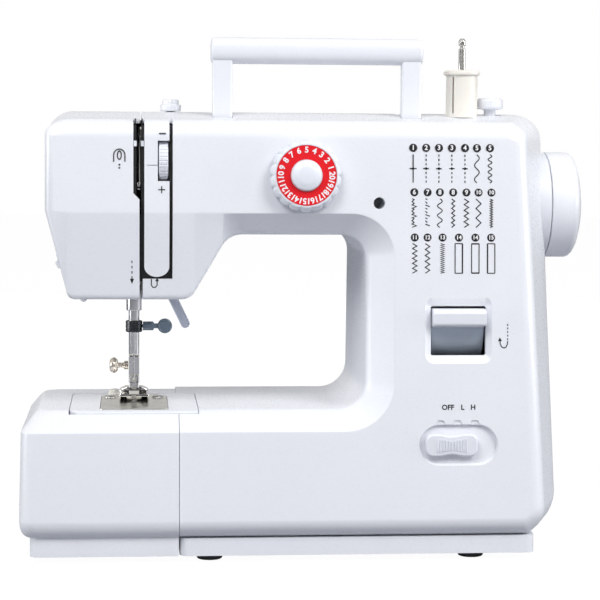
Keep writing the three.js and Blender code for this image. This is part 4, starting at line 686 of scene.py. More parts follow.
def extension_table():
    right = TABLE_HI[0]
    stations = []
    for i in range(11):
        t = math.radians(9 * i)
        stations.append((Z_CASE + EDGE_BOTTOM * (1 - math.cos(t)), 9 * (1 - math.sin(t))))
    edge = BED_TOP - BAND_BED
    stations += [(edge - 1.1, 0), (edge - 0.1, 0.12), (edge + 0.7, 0.9), (edge + 4, 5.06),
                 (BED_TOP - LIP, BEVEL)]
    corner = BEVEL + LIP * BEVEL / (BAND_BED - LIP)
    for i in range(1, 7):
        t = i / 6
        z = (BED_TOP - LIP) * (1 - t) ** 2 + 2 * BED_TOP * t * (1 - t) + BED_TOP * t * t
        stations.append((z, BEVEL * (1 - t) ** 2 + 2 * corner * t * (1 - t) + (corner + 2.6) * t * t))
    outer = loft("extension_table_shell", [table_ring(z, inset, right) for z, inset in stations])
    inner = loft("i", [table_ring(z, inset, right + 2) for z, inset in (
        (Z_CASE + WALL, 8.5), (Z_CASE + EDGE_BOTTOM, WALL + 0.5), (BED_TOP - BAND_BED - 2, WALL + 0.5),
        (BED_TOP - LIP - WALL, BEVEL + WALL - 1), (BED_TOP - WALL, BEVEL + LIP))])
    liner = box("b", ARM_X0 - 3.4, right, ARM_Y0 - 3.4, ARM_Y1 + 3.4, ARM_Z0 - 3.4, BED_TOP - 0.5)
    combine(liner, [copy_of(outer)], "INTERSECT")
    plinth = prism("p", "z", [(min(x, right), y) for x, y in round_rect(
        TABLE_LO[0] + 6, right + 8, -DEPTH / 2 + 6, DEPTH / 2 - 6, 6)], 4, Z_CASE + 1)
    combine(outer, [inner])
    combine(outer, [plinth, liner], "UNION")
    combine(outer, [box("a", ARM_X0 - 0.4, right + 1, ARM_Y0 - 0.4, ARM_Y1 + 0.4, ARM_Z0 - 0.4,
                        BED_TOP + 5)])
    put(smooth(keep_largest(outer), 28), "table", "casing", "casing", "extension_table")


def base():
    lo, hi = span("base_plate")
    plate = prism("base_plinth", "z", round_rect(lo[0], hi[0], lo[1], hi[1], 5), lo[2], hi[2])
    combine(plate, [box("h", lo[0] + 4, hi[0] - 4, lo[1] + 4, hi[1] - 4, lo[2] + 3, hi[2] + 2)])
    put(smooth(plate), "machine", "casing", "casing", "base_plate")
    for i in range(1, 5):
        node = f"rubber_foot_{i}"
        x, y, _ = middle(node)
        lo, hi = span(node)
        r, h = (hi[0] - lo[0]) / 2, hi[2]
        foot = turned(f"foot_pad_{i}", "z", [(0, 0), (r - 0.6, 0, 1), (r, h, 0), (0, h)], x, y, 48,
                      rounds=5)
        put(smooth(foot), "machine", "rubber", "rubber", node)


# ---- Free arm and needle plate ----------------------------------------------------------------
def plate_outline(grow):
    x0, x1, y0, y1 = PLATE
    c = 7
    return fillet([(x0 - grow, y0 - grow, 1.5), (x1 + grow, y0 - grow, 1.5), (x1 + grow, y1 - c, 2),
                   (x1 - c, y1 + grow, 2), (x0 + c, y1 + grow, 2), (x0 - grow, y1 - c, 2)], 4)


def free_arm():
    z1 = span("free_arm")[1][2]
    left = fillet([(X_SEAM - 0.4, ARM_Y0), (X_SEAM - 0.4, ARM_Y1), (ARM_X0, ARM_Y1, 6),
                   (ARM_X0, ARM_Y0, 6)], 10)
    wide = [(ARM_X1 if x > X_SEAM - 1 else x, y) for x, y in left]
    body = prism("free_arm_shell", "z", left, ARM_Z0, z1)
    top = prism("t", "z", wide, z1 - WALL + 0.4, z1)
    combine(body, [top], "UNION")
    x0, x1, y0, y1 = PLATE
    cuts = [
        box("i", ARM_X0 + WALL, X_SEAM + 1, ARM_Y0 + WALL, ARM_Y1 - WALL, ARM_Z0 + WALL, z1 - WALL + 0.4),
        prism("r", "z", plate_outline(0.4), z1 - 1.8, BED_TOP + 1),
        box("w", x0 + 6, x1 - 6, y0 + 4, y1 - 9, z1 - 8, BED_TOP + 1),
    ]
    cuts += [cylinder("h", "z", 1.9, z1 - 8, z1, X_NEEDLE + dx, PLATE_SCREW_Y, 24)
             for dx in (-PLATE_SCREW_DX, PLATE_SCREW_DX)]
    low, edge = BED_TOP - BAND_BED, front_y(BED_TOP - BAND_BED) + 0.2
    slope = [(edge - 20, low), (edge, low), (edge + BEVEL, BED_TOP - LIP), (edge + 13.6, BED_TOP - 1),
             (edge + 16.6, BED_TOP),
             (edge + 16.6, BED_TOP + 9), (edge - 20, BED_TOP + 9)]
    cuts.append(prism("s", "x", slope, -FAR, FAR))
    combine(body, cuts)
    put(smooth(body), "machine", "casing", "casing", "free_arm")


def needle_plate():
    lo, hi = span("needle_plate")
    plate = prism("needle_plate_steel", "z", plate_outline(0), lo[2], hi[2])
    soften(plate, 0.35, 2, 60)
    cuts = [box("s", X_NEEDLE - 3.2, X_NEEDLE + 3.2, NEEDLE_Y - 1.2, NEEDLE_Y + 1.2, lo[2] - 1, hi[2] + 1)]
    for dx in (-6.2, 6.2):
        cuts.append(box("s", X_NEEDLE + dx - 1.8, X_NEEDLE + dx + 1.8, NEEDLE_Y - 13, NEEDLE_Y + 13,
                        lo[2] - 1, hi[2] + 1))
    for dx in (-PLATE_SCREW_DX, PLATE_SCREW_DX):
        cuts.append(cylinder("s", "z", 1.9, lo[2] - 1, hi[2] + 1, X_NEEDLE + dx, PLATE_SCREW_Y, 32))
    for dx in (9.6, 11.2, 12.8, 14.4):
        cuts.append(box("s", X_NEEDLE + dx - 0.12, X_NEEDLE + dx + 0.12, -46, -14, hi[2] - 0.15, hi[2] + 1))
    combine(plate, cuts)
    put(smooth(plate), "machine", "satin_steel", "plate", "needle_plate")
    for side, dx in (("left", -PLATE_SCREW_DX), ("right", PLATE_SCREW_DX)):
        node = "needle_plate_screw_" + side
        lo, hi = span(node)
        zh = hi[2]
        head = [(0, lo[2]), (1.5, lo[2]), (1.5, zh - 1.3), (3.4, zh - 1.3), (3.4, zh - 0.9, 0.4),
                (2.7, zh - 0.1, 0.8), (0, zh)]
        screw = turned(node + "_head", "z", head, X_NEEDLE + dx, PLATE_SCREW_Y, 40)
        combine(screw, [box("s", X_NEEDLE + dx - 3.6, X_NEEDLE + dx + 3.6, PLATE_SCREW_Y - 0.4,
                            PLATE_SCREW_Y + 0.4, zh - 0.6, zh + 1)])
        put(smooth(screw), "machine", "satin_steel", "steel", node)
    button = turned("plate_release_button", "z",
                    [(0, 86), (4.2, 86), (4.2, 88.6, 1.2), (2.6, 91.2, 2), (0, 91.6)],
                    X_NEEDLE - 12, 23, 40, rounds=6)
    put(smooth(button), "machine", "casing", "ivory")


# ---- Needle side ------------------------------------------------------------------------------
def needle_side():
    z_clamp = span("needle_clamp")[0][2]
    x, y = X_NEEDLE, NEEDLE_Y
    lo, hi = span("needle_bar")
    bar = turned("needle_bar_rod", "z", [(0, z_clamp + 1.8), (3.25, z_clamp + 1.8, 0.4), (3.25, hi[2], 0.5),
                                         (0, hi[2])], x, y)
    dz = Z_HEAD + 36
    driver = turned("d", "z", [(0, dz - 4), (5.4, dz - 4, 0.5), (5.4, dz + 4, 0.5), (0, dz + 4)], x, y)
    pin = cylinder("p", "x", 2.2, x, x + 9.4, y, dz, 32)
    combine(bar, [driver, pin], "UNION")
    put(smooth(bar), "needle_unit", "polished_steel", "chrome", "needle_bar")
    a, b = z_clamp, z_clamp + 7
    clamp = turned("needle_clamp_block", "z",
                   [(1.35, a), (5, a, 0.8), (5, b, 0.8), (3.65, b), (3.65, a + 1.5), (1.35, a + 1.5)], x, y)
    for zg in (a + 2.1, b - 2.4):
        combine(clamp, [turned("g", "z", [(4.7, zg), (5.4, zg - 0.2), (5.4, zg + 0.5), (4.7, zg + 0.3)], x,
                               y)])
    combine(clamp, [cylinder("h", "x", 1.5, x + 3, x + 7, y, a + 3.6, 24)])
    put(smooth(clamp), "needle_unit", "dark_steel", "dark_steel", "needle_clamp")
    s = x + 5.3
    profile = [(0, s - 1.2), (1.1, s - 1.2), (1.1, s), (2.7, s, 0.3), (2.7, s + 6.2, 0.5),
               (1.5, s + 6.8, 0.2), (1.5, s + 11),
               (0, s + 11)]
    screw = turned("needle_clamp_knob", "x", profile, y, a + 3.6)
    paddle = [(0, y - 1.9), (3.3, y - 1.9, 0.6), (3.7, y - 2.3, 0.4), (4.4, y - 1.8, 0.6),
              (4.4, y + 1.8, 0.6), (3.7, y + 2.3, 0.4),
              (3.3, y + 1.9, 0.6), (0, y + 1.9)]
    combine(screw, [turned("k", "y", paddle, s + 13.2, a + 3.6)], "UNION")
    put(smooth(screw), "clamp_screw", "grey_plastic", "clamp_grey", "needle_clamp_screw")
    lo, hi = span("needle")
    top, tip = hi[2], lo[2]
    needle = turned("needle_steel", "z", [(0, top), (1, top), (1, top - 11.6), (0.55, top - 14),
                                          (0.5, tip + 4),
                                          (0.34, tip + 1.6), (0, tip)], x, y, 32)
    combine(needle, [prism("e", "y", arc(x, tip + 5.2, 0.18, 0.9, 0, 360, 16)[:-1], y - 2, y + 2)])
    put(smooth(needle), "needle_unit", "polished_steel", "chrome", "needle")
    hub = turned("bar_guide_frame", "z", [(3.6, Z_HEAD - 9.6), (4.6, Z_HEAD - 9.6, 0.5), (4.6, Z_HEAD + 3),
                                          (3.6, Z_HEAD + 3)], x, y)
    sleeve = turned("s", "z", [(3.55, Z_HEAD - 4), (5, Z_HEAD - 4, 0.4), (5, Z_HEAD + 4),
                               (3.55, Z_HEAD + 4)], x, PRESS_Y)
    floor = box("f", x - 13, x + 10, y - 8, PRESS_Y + 9, Z_HEAD - 1, Z_HEAD + 2.6)
    back = box("f", x - 13, x + 4.6, PRESS_Y + 6, PRESS_Y + 9, Z_HEAD + 2, Z_SHAFT - 4)
    shelf = box("f", x - 10, x + 4.6, y - 6, PRESS_Y + 7, Z_SHAFT - 11, Z_SHAFT - 4)
    combine(floor, [back, shelf], "UNION")
    combine(floor, [cylinder("b", "z", 3.6, Z_HEAD - 20, Z_TOP, x, y),
                    cylinder("b", "z", 3.55, Z_HEAD - 20, Z_TOP, x, PRESS_Y)])
    frame_part = join_all("bar_guide_casting", [floor, hub, sleeve])
    put(smooth(frame_part), "machine", "alloy", "chrome", "bar_guide")


def take_up():
    lo, hi = span("take_up_lever")
    y0, z0 = SHAFT_Y + 8, Z_TOP - 14
    tip_z = Z_CREASE + 14.6
    tip_y = front_y(tip_z) + 1.2
    reach, drop = math.hypot(y0 - tip_y, z0 - tip_z), math.atan2(z0 - tip_z, y0 - tip_y)
    arm = prism("take_up_arm", "x", fillet([(-reach, -2.4, 1.6), (0, -3.6), (0, 3.6), (-reach, 2.4, 1.6)],
                                           5), lo[0], lo[0] + 1.6)
    hook = prism("h", "x", [(-reach - 1, 1.2), (-reach - 1, -1), (-reach + 6, -1), (-reach + 6, 0.4),
                            (-reach + 1.4, 1.2)],
                 lo[0] - 1, lo[0] + 3)
    combine(arm, [hook])
    soften(arm, 0.25, 2, 40)
    combine(arm, [cylinder("b", "x", 5, lo[0], hi[0], 0, 0)], "UNION")
    combine(arm, [cylinder("b", "x", 2.2, lo[0] - 1, hi[0] + 1, 0, 0, 32)])
    turn = Matrix.Translation((0, y0 * MM, z0 * MM)) @ Matrix.Rotation(drop, 4, "X")
    put(smooth(moved(arm, turn)), "take_up", "polished_steel", "chrome", "take_up_lever")


def tension():
    lo, hi = span("tension_dial")
    r = (hi[2] - lo[2]) / 2
    y, z = (lo[1] + hi[1]) / 2, (lo[2] + hi[2]) / 2
    a, b = lo[0], hi[0]
    wheel = turned("tension_wheel", "x", [(2.5, a), (r, a, 0.7), (r, b, 0.7), (2.5, b)], y, z, 96)
    cuts = [cylinder("n", "x", 0.45, a - 1, b + 1, y + (r + 0.1) * math.cos(t), z + (r + 0.1) * math.sin(t),
                     8)
            for t in [math.radians(9 * i) for i in range(40)]]
    combine(wheel, cuts)
    put(smooth(wheel), "tension", "knob", "knob", "tension_dial")


def presser():
    x, y = X_NEEDLE, PRESS_Y
    lo, hi = span("presser_bar")
    bar = turned("presser_bar_rod", "z", [(0, lo[2]), (3.2, lo[2], 0.4), (3.2, hi[2], 0.5), (0, hi[2])], x,
                 y)
    combine(bar, [turned("c", "z", [(0, Z_HEAD + 10), (5.2, Z_HEAD + 10, 0.5), (5.2, Z_HEAD + 17, 0.5),
                                    (0, Z_HEAD + 17)], x, y)], "UNION")
    put(smooth(bar), "presser", "polished_steel", "chrome", "presser_bar")
    top, z15, z9 = BED_TOP + 26.6, BED_TOP + 15, BED_TOP + 9.4
    block = prism("presser_ankle_block", "x",
                  fillet([(y - 3.2, top, 1), (y - 3.2, z15, 1), (y - 2.6, z9, 0.8), (y + 4.4, z9, 0.8),
                          (y + 5, z15, 1),
                                         (y + 3.8, top, 1)], 4), x - 3.2, x + 3.2)
    soften(block, 0.5, 3, 40)
    pivot = (y + 1, BED_TOP + 5.5)
    fork = prism("f", "x", fillet([(pivot[0] - 2.4, z9 + 0.6), (pivot[0] - 2.4, pivot[1] - 1, 1.2),
                                   (pivot[0] + 2.4, pivot[1] - 1, 1.2), (pivot[0] + 2.4, z9 + 0.6)], 4),
                 x - 2.6, x + 2.6)
    combine(block, [fork], "UNION")
    combine(block, [cylinder("b", "x", 1.5, x - 5, x + 5, pivot[0], pivot[1], 24)])
    put(smooth(block), "presser", "polished_steel", "chrome", "presser_ankle")
    s = x - 3.5
    zc = BED_TOP + 20.3
    profile = [(0, s), (2.6, s), (2.6, s - 2.6, 0.5), (1.5, s - 2.6), (1.5, s - 6.2, 0.3),
               (3.4, s - 6.4, 0.8), (5.2, s - 8.4, 1.6),
               (3.6, s - 11.1, 1.8), (0, s - 11.4)]
    screw = turned("presser_thumb_screw", "x", profile, y, zc)
    combine(screw, [box("s", s - 12, s - 10.8, y - 6, y + 6, zc - 0.4, zc + 0.4)])
    put(smooth(screw), "ankle_screw", "brass", "brass", "presser_screw")
    foot_z = BED_TOP + 0.9
    toe, heel = NEEDLE_Y - 15, pivot[0] + 7
    sole = prism("presser_foot_sole", "x",
                 fillet([(toe, foot_z + 3.6, 0.5), (toe + 5.5, foot_z, 4), (pivot[0], foot_z),
                         (heel, foot_z + 1.6, 0.5), (heel, foot_z + 2.6, 0.4),
                                        (toe + 6, foot_z + 1.8, 4), (toe + 0.6, foot_z + 4.8, 0.4)], 5),
                 x - 8.7, x + 8.7)
    soften(sole, 0.25, 2, 40)
    cheeks = [prism("c", "x", fillet([(pivot[0] - 4.4, foot_z + 1), (pivot[0] + 4.4, foot_z + 1.2),
                                      (pivot[0] + 3, foot_z + 6.8, 1.6), (pivot[0] - 3, foot_z + 6.8, 1.6)],
                                     5), a, b)
              for a, b in ((x - 5.4, x - 3), (x + 3, x + 5.4))]
    for cheek in cheeks:
        soften(cheek, 0.4, 2, 40)
    bow = prism("b", "y", fillet([(x - 8.7, foot_z + 1.2), (x + 8.7, foot_z + 1.2),
                                  (x + 8.7, foot_z + 5.2, 2.4), (x + 4.6, foot_z + 6.7, 2),
                                  (x - 4.6, foot_z + 6.7, 2), (x - 8.7, foot_z + 5.2, 2.4)], 8),
                pivot[0] - 4.2, pivot[0] + 4.2)
    soften(bow, 1.2, 4, 60)
    combine(bow, [box("m", x - 3, x + 3, pivot[0] - 9, pivot[0] + 9, foot_z + 1, foot_z + 9)])
    combine(sole, [bow, *cheeks, cylinder("p", "x", 1.1, x - 5, x + 5, pivot[0], foot_z + 4.6, 24)],
            "UNION")
    slots = [box("t", x - 1.4, x + 1.4, toe - 1, NEEDLE_Y - 3, foot_z - 1, foot_z + 8),
             box("t", x - 3.4, x + 3.4, NEEDLE_Y - 3, NEEDLE_Y + 2.4, foot_z - 1, foot_z + 2.6)]
    combine(sole, slots)
    put(smooth(sole), "foot", "polished_steel", "chrome", "presser_foot")


def lifter():
    lo, hi = span("presser_lifter")
    px, pz = X_NEEDLE + 19.4, Z_HEAD + 4.7
    c, s = math.cos(math.radians(26)), math.sin(math.radians(26))
    shape = [(-2.8, 0)] + arc(0, -27.5, 2.8, 2.8, 180, 360, 16) + [(2.8, 0)]
    tab = prism("presser_lifter_tab", "y", [(px + u * c - v * s, pz + u * s + v * c) for u, v in shape],
                lo[1], hi[1])
    soften(tab, 1.1, 4, 50)
    combine(tab, [cylinder("h", "y", 4.4, lo[1], hi[1], px, pz)], "UNION")
    combine(tab, [cylinder("h", "y", 1.6, lo[1] - 1, hi[1] + 1, px, pz, 24)])
    put(smooth(tab), "lifter", "grey_plastic", "lifter", "presser_lifter")
    lo, hi = span("work_lamp")
    x, y, _ = middle("work_lamp")
    lens = turned("lamp_lens", "z", [(0, lo[2]), (1.7, lo[2] + 0.5, 0.8), (2.2, hi[2]), (0, hi[2])], x, y,
                  40, rounds=6)
    put(smooth(lens), "machine", "lens", "lens", "work_lamp")
    lo, hi = span("thread_cutter")

    def side(z, gap):
        return X_HEAD + HEAD_SLANT * (Z_CREASE + 1 - z) / (Z_CREASE - 4 - Z_HEAD) - gap, z

    z0 = lo[2]
    fin = fillet([(*side(z0, 0.4), 0), (*side(z0 + 9, 0.4), 0), (*side(z0 + 9, 1.8), 0.5),
                  (*side(z0 + 5, 1.8), 1), (*side(z0 + 4.2, 3.6), 0.5),
                  (*side(z0 + 0.6, 3), 0.6)], 4)
    cutter = prism("thread_cutter_fin", "y", fin, lo[1], hi[1])
    soften(cutter, 0.4, 2, 50)
    put(smooth(cutter), "machine", "grey_plastic", "casing", "thread_cutter")


# ---- Controls on the front --------------------------------------------------------------------
def dial_frame():
    """Local axes of the dial: X right, Y up the panel, Z out of it."""
    up = Vector((0, math.sin(LEAN), math.cos(LEAN)))
    out = Vector((0, -math.cos(LEAN), math.sin(LEAN)))
    rows = Matrix((Vector((1, 0, 0)), up, out)).transposed().to_4x4()
    return Matrix.Translation((DIAL_X * MM, front_y(DIAL_Z) * MM, DIAL_Z * MM)) @ rows


def text_mesh(name, body, size, depth=0.06):
    """Text as a thin solid, centred on the origin in the XY plane; size is the cap height."""
    curve = bpy.data.curves.new(name, "FONT")
    curve.body, curve.align_x, curve.align_y = body, "CENTER", "CENTER"
    curve.size, curve.extrude, curve.resolution_u = size * 1.42 * MM, depth * MM, 3
    curve.offset = 0.045 * size * MM
    holder = bpy.data.objects.new(name, curve)
    bpy.context.scene.collection.objects.link(holder)
    mesh = bpy.data.meshes.new_from_object(holder.evaluated_get(bpy.context.evaluated_depsgraph_get()))
    bpy.data.objects.remove(holder)
    obj = bpy.data.objects.new(name, mesh)
    bpy.context.scene.collection.objects.link(obj)
    return obj


def pattern_dial():
    at = dial_frame()
    r, steps, lobes = 20.8, 288, 18
    digit_radius, digit_size, ring_top = 14.6, 3.3, 8.5

    def skirt(radius, depth, height):
        ring = []
        for i in range(steps):
            t = 2 * math.pi * i / steps
            swell = abs(math.sin(lobes / 2 * t))
            reach = radius - depth * (1 - swell) ** 2
            ring.append((reach * math.cos(t), reach * math.sin(t), height))
        return ring

    rings = [skirt(3.5, 0, -12), skirt(3.5, 0, 0.9), skirt(r - 0.5, 1.3, 0.9), skirt(r, 1.3, 1.5),
             skirt(r, 1.3, 3.4),
             skirt(r - 0.5, 1.1, 5), skirt(r - 1.4, 0.7, 7.2), skirt(r - 2, 0.5, 8.1),
             skirt(r - 2.6, 0.2, 8.4),
             skirt(17.5, 0, 8.3), skirt(17.5, 0, 7.6)]
    core = fillet([(9.1, 7.6), (9.1, 9, 0.3), (8.6, 10.6, 1.4), (5, 11.9, 6), (0, 12.3)], 6, False)
    rings += [skirt(a, 0, h) for a, h in core]
    body = loft("pattern_dial_knob", rings)
    put(smooth(moved(body, at), 40), "dial", "knob", "cap", "pattern_dial")
    ring = turned("dial_ring_red", "z", [(9.3, 7.7), (17.3, 7.7), (17.3, ring_top), (9.3, ring_top)], 0, 0,
                  128)
    put(smooth(moved(ring, at)), "dial", "dial_red", "dial_red", "dial_ring")
    digits = []
    for n in range(1, 21):
        angle = math.radians(90 + (n - 5) * 18)
        digit = text_mesh("n", str(n), digit_size)
        spot = Matrix.Translation((digit_radius * MM * math.cos(angle), digit_radius * MM * math.sin(angle),
                                   ring_top * MM))
        digits.append(moved(digit, at @ spot @ Matrix.Rotation(angle - math.pi / 2, 4, "Z")))
    put(join_all("dial_digits", digits), "dial", "knob", "white_ink")


def reverse_lever():
    a, b = LEVER_X0 + 0.6, LEVER_X1 - 0.6
    y, top = front_y(LEVER_Z1), LEVER_Z1
    pivot = (y + 34, top - 8)
    bar = prism("reverse_lever_bar", "x", fillet([(y - 5.5, top - 11, 2), (y + 6, top - 13),
                                                  (y + 6, top - 1.4), (y - 3, top - 1.4, 2.2),
                                   (y - 5.5, top - 3.6, 1.6)], 6), a, b)
    soften(bar, 0.9, 3, 50)
    radius = pivot[0] - y - 4.5
    scoop = prism("s", "x", arc(*pivot, radius, radius, 178, 226, 24) + arc(*pivot, radius - 2, radius - 2,
            226, 178, 24),
                  a, b)
    stem = box("t", (a + b) / 2 - 8, (a + b) / 2 + 8, y + 4, pivot[0], pivot[1] - 3, pivot[1] + 3)
    barrel = cylinder("t", "x", 5, (a + b) / 2 - 11, (a + b) / 2 + 11, *pivot)
    combine(bar, [stem, barrel], "UNION")
    combine(bar, [cylinder("t", "x", 1.8, a - 5, b + 5, *pivot, 24)])
    put(smooth(bar), "reverse", "knob", "knob", "reverse_lever")
    scoop.name = "reverse_lever_scoop"
    combine(scoop, [box("t", -FAR, FAR, -FAR, FAR, -FAR, LEVER_Z0 - 6)])
    # the scoop's darker blue-grey material is painted shade in the lever's recess
    put(smooth(scoop), "reverse", "knob", "scoop")


def power_slider():
    lo, hi = span("power_slider")
    x0, x1, z, r = lo[0], hi[0], SLIDER_Z, 6.6
    y = front_y(z)
    m = (x0 + x1) / 2
    shape = fillet([(x1, z - r, 5), (x1, z + r, 5), (x1 - 9, z + r, 6), (m, z + r - 1.4, 14),
                    (x0 + 9, z + r, 6),
                    (x0, z + r, 5), (x0, z - r, 5), (x0 + 9, z - r, 6), (m, z - r + 1.4, 14),
                    (x1 - 9, z - r, 6)], 8)
    knob = prism("power_slider_knob", "y", shape, y - 2.6, y + 2.2)
    soften(knob, 1.3, 4, 50)
    ribs = []
    for i in range(-5, 6):
        h = 5.2 - 0.28 * (5 - abs(i))
        ribs.append(prism("r", "z", fillet([(m + i * 1.7 - 0.55, y - 2.4), (m + i * 1.7 + 0.55, y - 2.4),
                                            (m + i * 1.7 + 0.3, y - 3.3, 0.25),
                                            (m + i * 1.7 - 0.3, y - 3.3, 0.25)], 3), z - h + 1.4,
                          z + h - 1.4))
    stem = box("t", SLIDER_X0 + 9.4, SLIDER_X0 + 16, y + 1, y + 11, z - 2.4, z + 2.4)
    combine(knob, [*ribs, stem], "UNION")
    put(smooth(knob), "power", "knob", "knob", "power_slider")


def handwheel():
    a, b, r = WHEEL_LO[0], WHEEL_HI[0], (WHEEL_HI[2] - WHEEL_LO[2]) / 2
    dome = [(r, b - 9.6), (r - 0.5, b - 8), (r - 1.9, b - 6.5), (r - 4, b - 5.3), (r - 9, b - 3.7),
            (r - 16, b - 2.3), (r - 24, b - 1.6), (0, b - 1.4)]
    profile = [(4.3, a), (r - 1.2, a), (r - 0.3, a + 0.4), (r, a + 1.2), *dome]
    wheel = [(0, a + 12.3), (4.3, a + 12.3), *profile]
    obj = turned("handwheel_knob", "x", wheel, SHAFT_Y, Z_SHAFT, 160)
    put(smooth(obj, 40), "upper_drive", "casing", "casing", "handwheel")


def handle():
    top = span("handle")[1][2]
    grip_r, y = 7.75, HANDLE_Y + 1.5
    oval = [(y + 8 * math.copysign(abs(math.cos(t)) ** 0.8, math.cos(t)),
             top - grip_r + grip_r * math.copysign(abs(math.sin(t)) ** 0.8, math.sin(t)))
            for t in [2 * math.pi * i / 64 for i in range(64)]]
    grip = prism("carry_handle_bail", "x", oval, HANDLE_X0 - 1, HANDLE_X1 + 1)
    soften(grip, 2.2, 4, 50)
    legs = []
    for x in (HANDLE_X0, HANDLE_X1 - HANDLE_LEG):
        shape = fillet([(HANDLE_Y - HANDLE_DEPTH / 2, PIVOT_Z - HANDLE_DEPTH / 2, 4.4),
                        (HANDLE_Y + HANDLE_DEPTH / 2, PIVOT_Z - HANDLE_DEPTH / 2, 4.4),
                        (HANDLE_Y + HANDLE_DEPTH / 2, top - grip_r),
                        (HANDLE_Y - HANDLE_DEPTH / 2, top - grip_r)], 8)
        leg = prism("l", "x", shape, x, x + HANDLE_LEG)
        soften(leg, 1.4, 4, 60)
        legs.append(leg)
        legs.append(cylinder("p", "x", 2.2, x - 1.6, x + HANDLE_LEG + 1.6, HANDLE_Y, PIVOT_Z, 32))
    combine(grip, legs, "UNION")
    put(smooth(grip, 40), "bail", "casing", "casing", "handle")


def top_fittings():
    low = span("spool_post")[0][2]
    z0, top, r = crest_z(POST_Y - POST_R), Z_TOP + 25.5, POST_R
    body = [(2.5, low), (r - 2, low), (r - 2, z0 + 0.5), (r, z0 + 0.5, 0.3), (r, top - 3, 0.4),
            (r + 1.5, top - 2.6, 0.4), (r + 1.5, top - 0.6, 0.7),
            (r + 0.4, top, 0.4), (4, top, 0.4), (4, top - 1.2), (2.5, top - 1.2)]
    post = turned("spool_post_sleeve", "z", body, POST_X, POST_Y, 96)
    combine(post, [box("s", POST_X - 6.6, POST_X - 5.8, POST_Y - r - 2, POST_Y - 4, z0 + 3, top - 4)])
    put(smooth(post), "machine", "ivory", "ivory", "spool_post")
    t = span("spool_pin")[1][2]
    pin = [(0, Z_TOP), (2.1, Z_TOP), (2.1, t - 6.2, 0.3), (1.3, t - 5.8, 0.2), (1.3, t - 4.6, 0.2),
           (2.1, t - 4, 0.3), (2.2, t - 1.6, 0.8), (1.2, t, 0.8), (0, t)]
    put(smooth(turned("spool_pin_rod", "z", pin, POST_X, POST_Y, 48)), "pin", "satin_steel", "steel",
        "spool_pin")
    z0 = Z_TOP + 2.9
    low = span("bobbin_winder")[0][2]
    button = [(0, low), (3.5, low), (3.5, z0 - 0.4, 0.4), (7.4, z0, 0.6), (7.95, z0 + 1.2, 0.5),
              (7.95, z0 + 5.2, 1.4), (6.6, z0 + 6.5, 1), (0, z0 + 6.6)]
    put(smooth(turned("bobbin_winder_button", "z", button, WINDER_X, WINDER_Y, 64, rounds=5)), "winder",
        "knob", "knob", "bobbin_winder")
    z0 = Z_TOP + 0.4
    guide = [(0, z0 - 7), (2.5, z0 - 7), (2.5, z0), (6.3, z0, 0.4), (6.3, z0 + 3.6, 0.7),
             (5, z0 + 4.2, 0.3), (5, z0 + 7, 1.2), (0, z0 + 7)]
    knob = turned("thread_guide_knob", "z", guide, GUIDE_X, GUIDE_Y, 64, rounds=5)
    combine(knob, [box("s", GUIDE_X - 0.7, GUIDE_X + 0.7, GUIDE_Y - 8, GUIDE_Y + 8, z0 + 5, z0 + 9)])
    put(smooth(knob), "machine", "casing", "casing", "thread_guide")


def sockets():
    lo, hi = span("socket_panel")
    x1 = hi[0]
    panel = prism("socket_panel_plate", "x", round_rect(lo[1], hi[1], lo[2], hi[2], 2), x1 - 2, x1)
    soften(panel, 0.5, 3, 50)
    combine(panel, [box("b", lo[0], x1 - 1, SOCKET_Y - 12, SOCKET_Y + 12, SOCKET_Z - 6, SOCKET_Z + 6)],
            "UNION")
    combine(panel, [cylinder("j", "x", 3.2, x1 - 10, x1 + 1, SOCKET_Y + dy, SOCKET_Z) for dy in (-6, 6)])
    put(smooth(panel), "machine", "black", "black", "socket_panel")


# ---- Printed marks ----------------------------------------------------------------------------
PROUD = 0.06


def on_front(obj):
    """Lays a flat mesh (x = X, y = z, z = height, in metres) on the head's and panel's face."""
    for v in obj.data.vertices:
        z = v.co.y / MM
        face = head_y if v.co.x / MM < X_HEAD_RIGHT else front_y
        v.co = Vector((v.co.x, face(z) * MM - v.co.z, v.co.y))
    return obj


def flat(name, points, high=PROUD):
    return prism(name, "z", points, -0.1, high)


def stroke(points, width=0.6):
    """A mitred line of constant width, as outline points."""
    left, right, n = [], [], len(points)
    for i in range(n):
        p = Vector(points[i])
        a = (p - Vector(points[i - 1])).normalized() if i else None
        b = (Vector(points[i + 1]) - p).normalized() if i < n - 1 else None
        d = ((a or b) + (b or a)).normalized()
        normal = Vector((-d.y, d.x))
        k = 1 / max(0.5, normal.dot(Vector((-(a or b).y, (a or b).x))))
        left.append(tuple(p + normal * k * width / 2))
        right.append(tuple(p - normal * k * width / 2))
    return left + right[::-1]


def zigzag(x, z1, z0, count, amp):
    h = (z1 - z0) / count
    return [(x + (amp if i % 2 else -amp), z1 - i * h) for i in range(count + 1)]


def wave(x, z1, z0, turns, amp):
    n = int(turns * 14)
    return [(x + amp * math.sin(2 * math.pi * turns * i / n), z1 - (z1 - z0) * i / n) for i in range(n + 1)]


def dashes(x, z1, z0, count):
    h = (z1 - z0) / (count * 2 - 1)
    return [[(x, z1 - 2 * i * h), (x, z1 - (2 * i + 1) * h)] for i in range(count)]


def blind_hem(x, z1, z0, count, amp):
    h = (z1 - z0) / count
    out = [(x - amp, z1)]
    for i in range(count):
        top = z1 - i * h
        for j in range(3):
            out += [(x - amp * (0.1 if j % 2 == 0 else 1), top - h * (j + 0.5) / 5)]
        out += [(x - amp, top - h * 0.66), (x + amp, top - h * 0.83), (x - amp, top - h)]
    return out


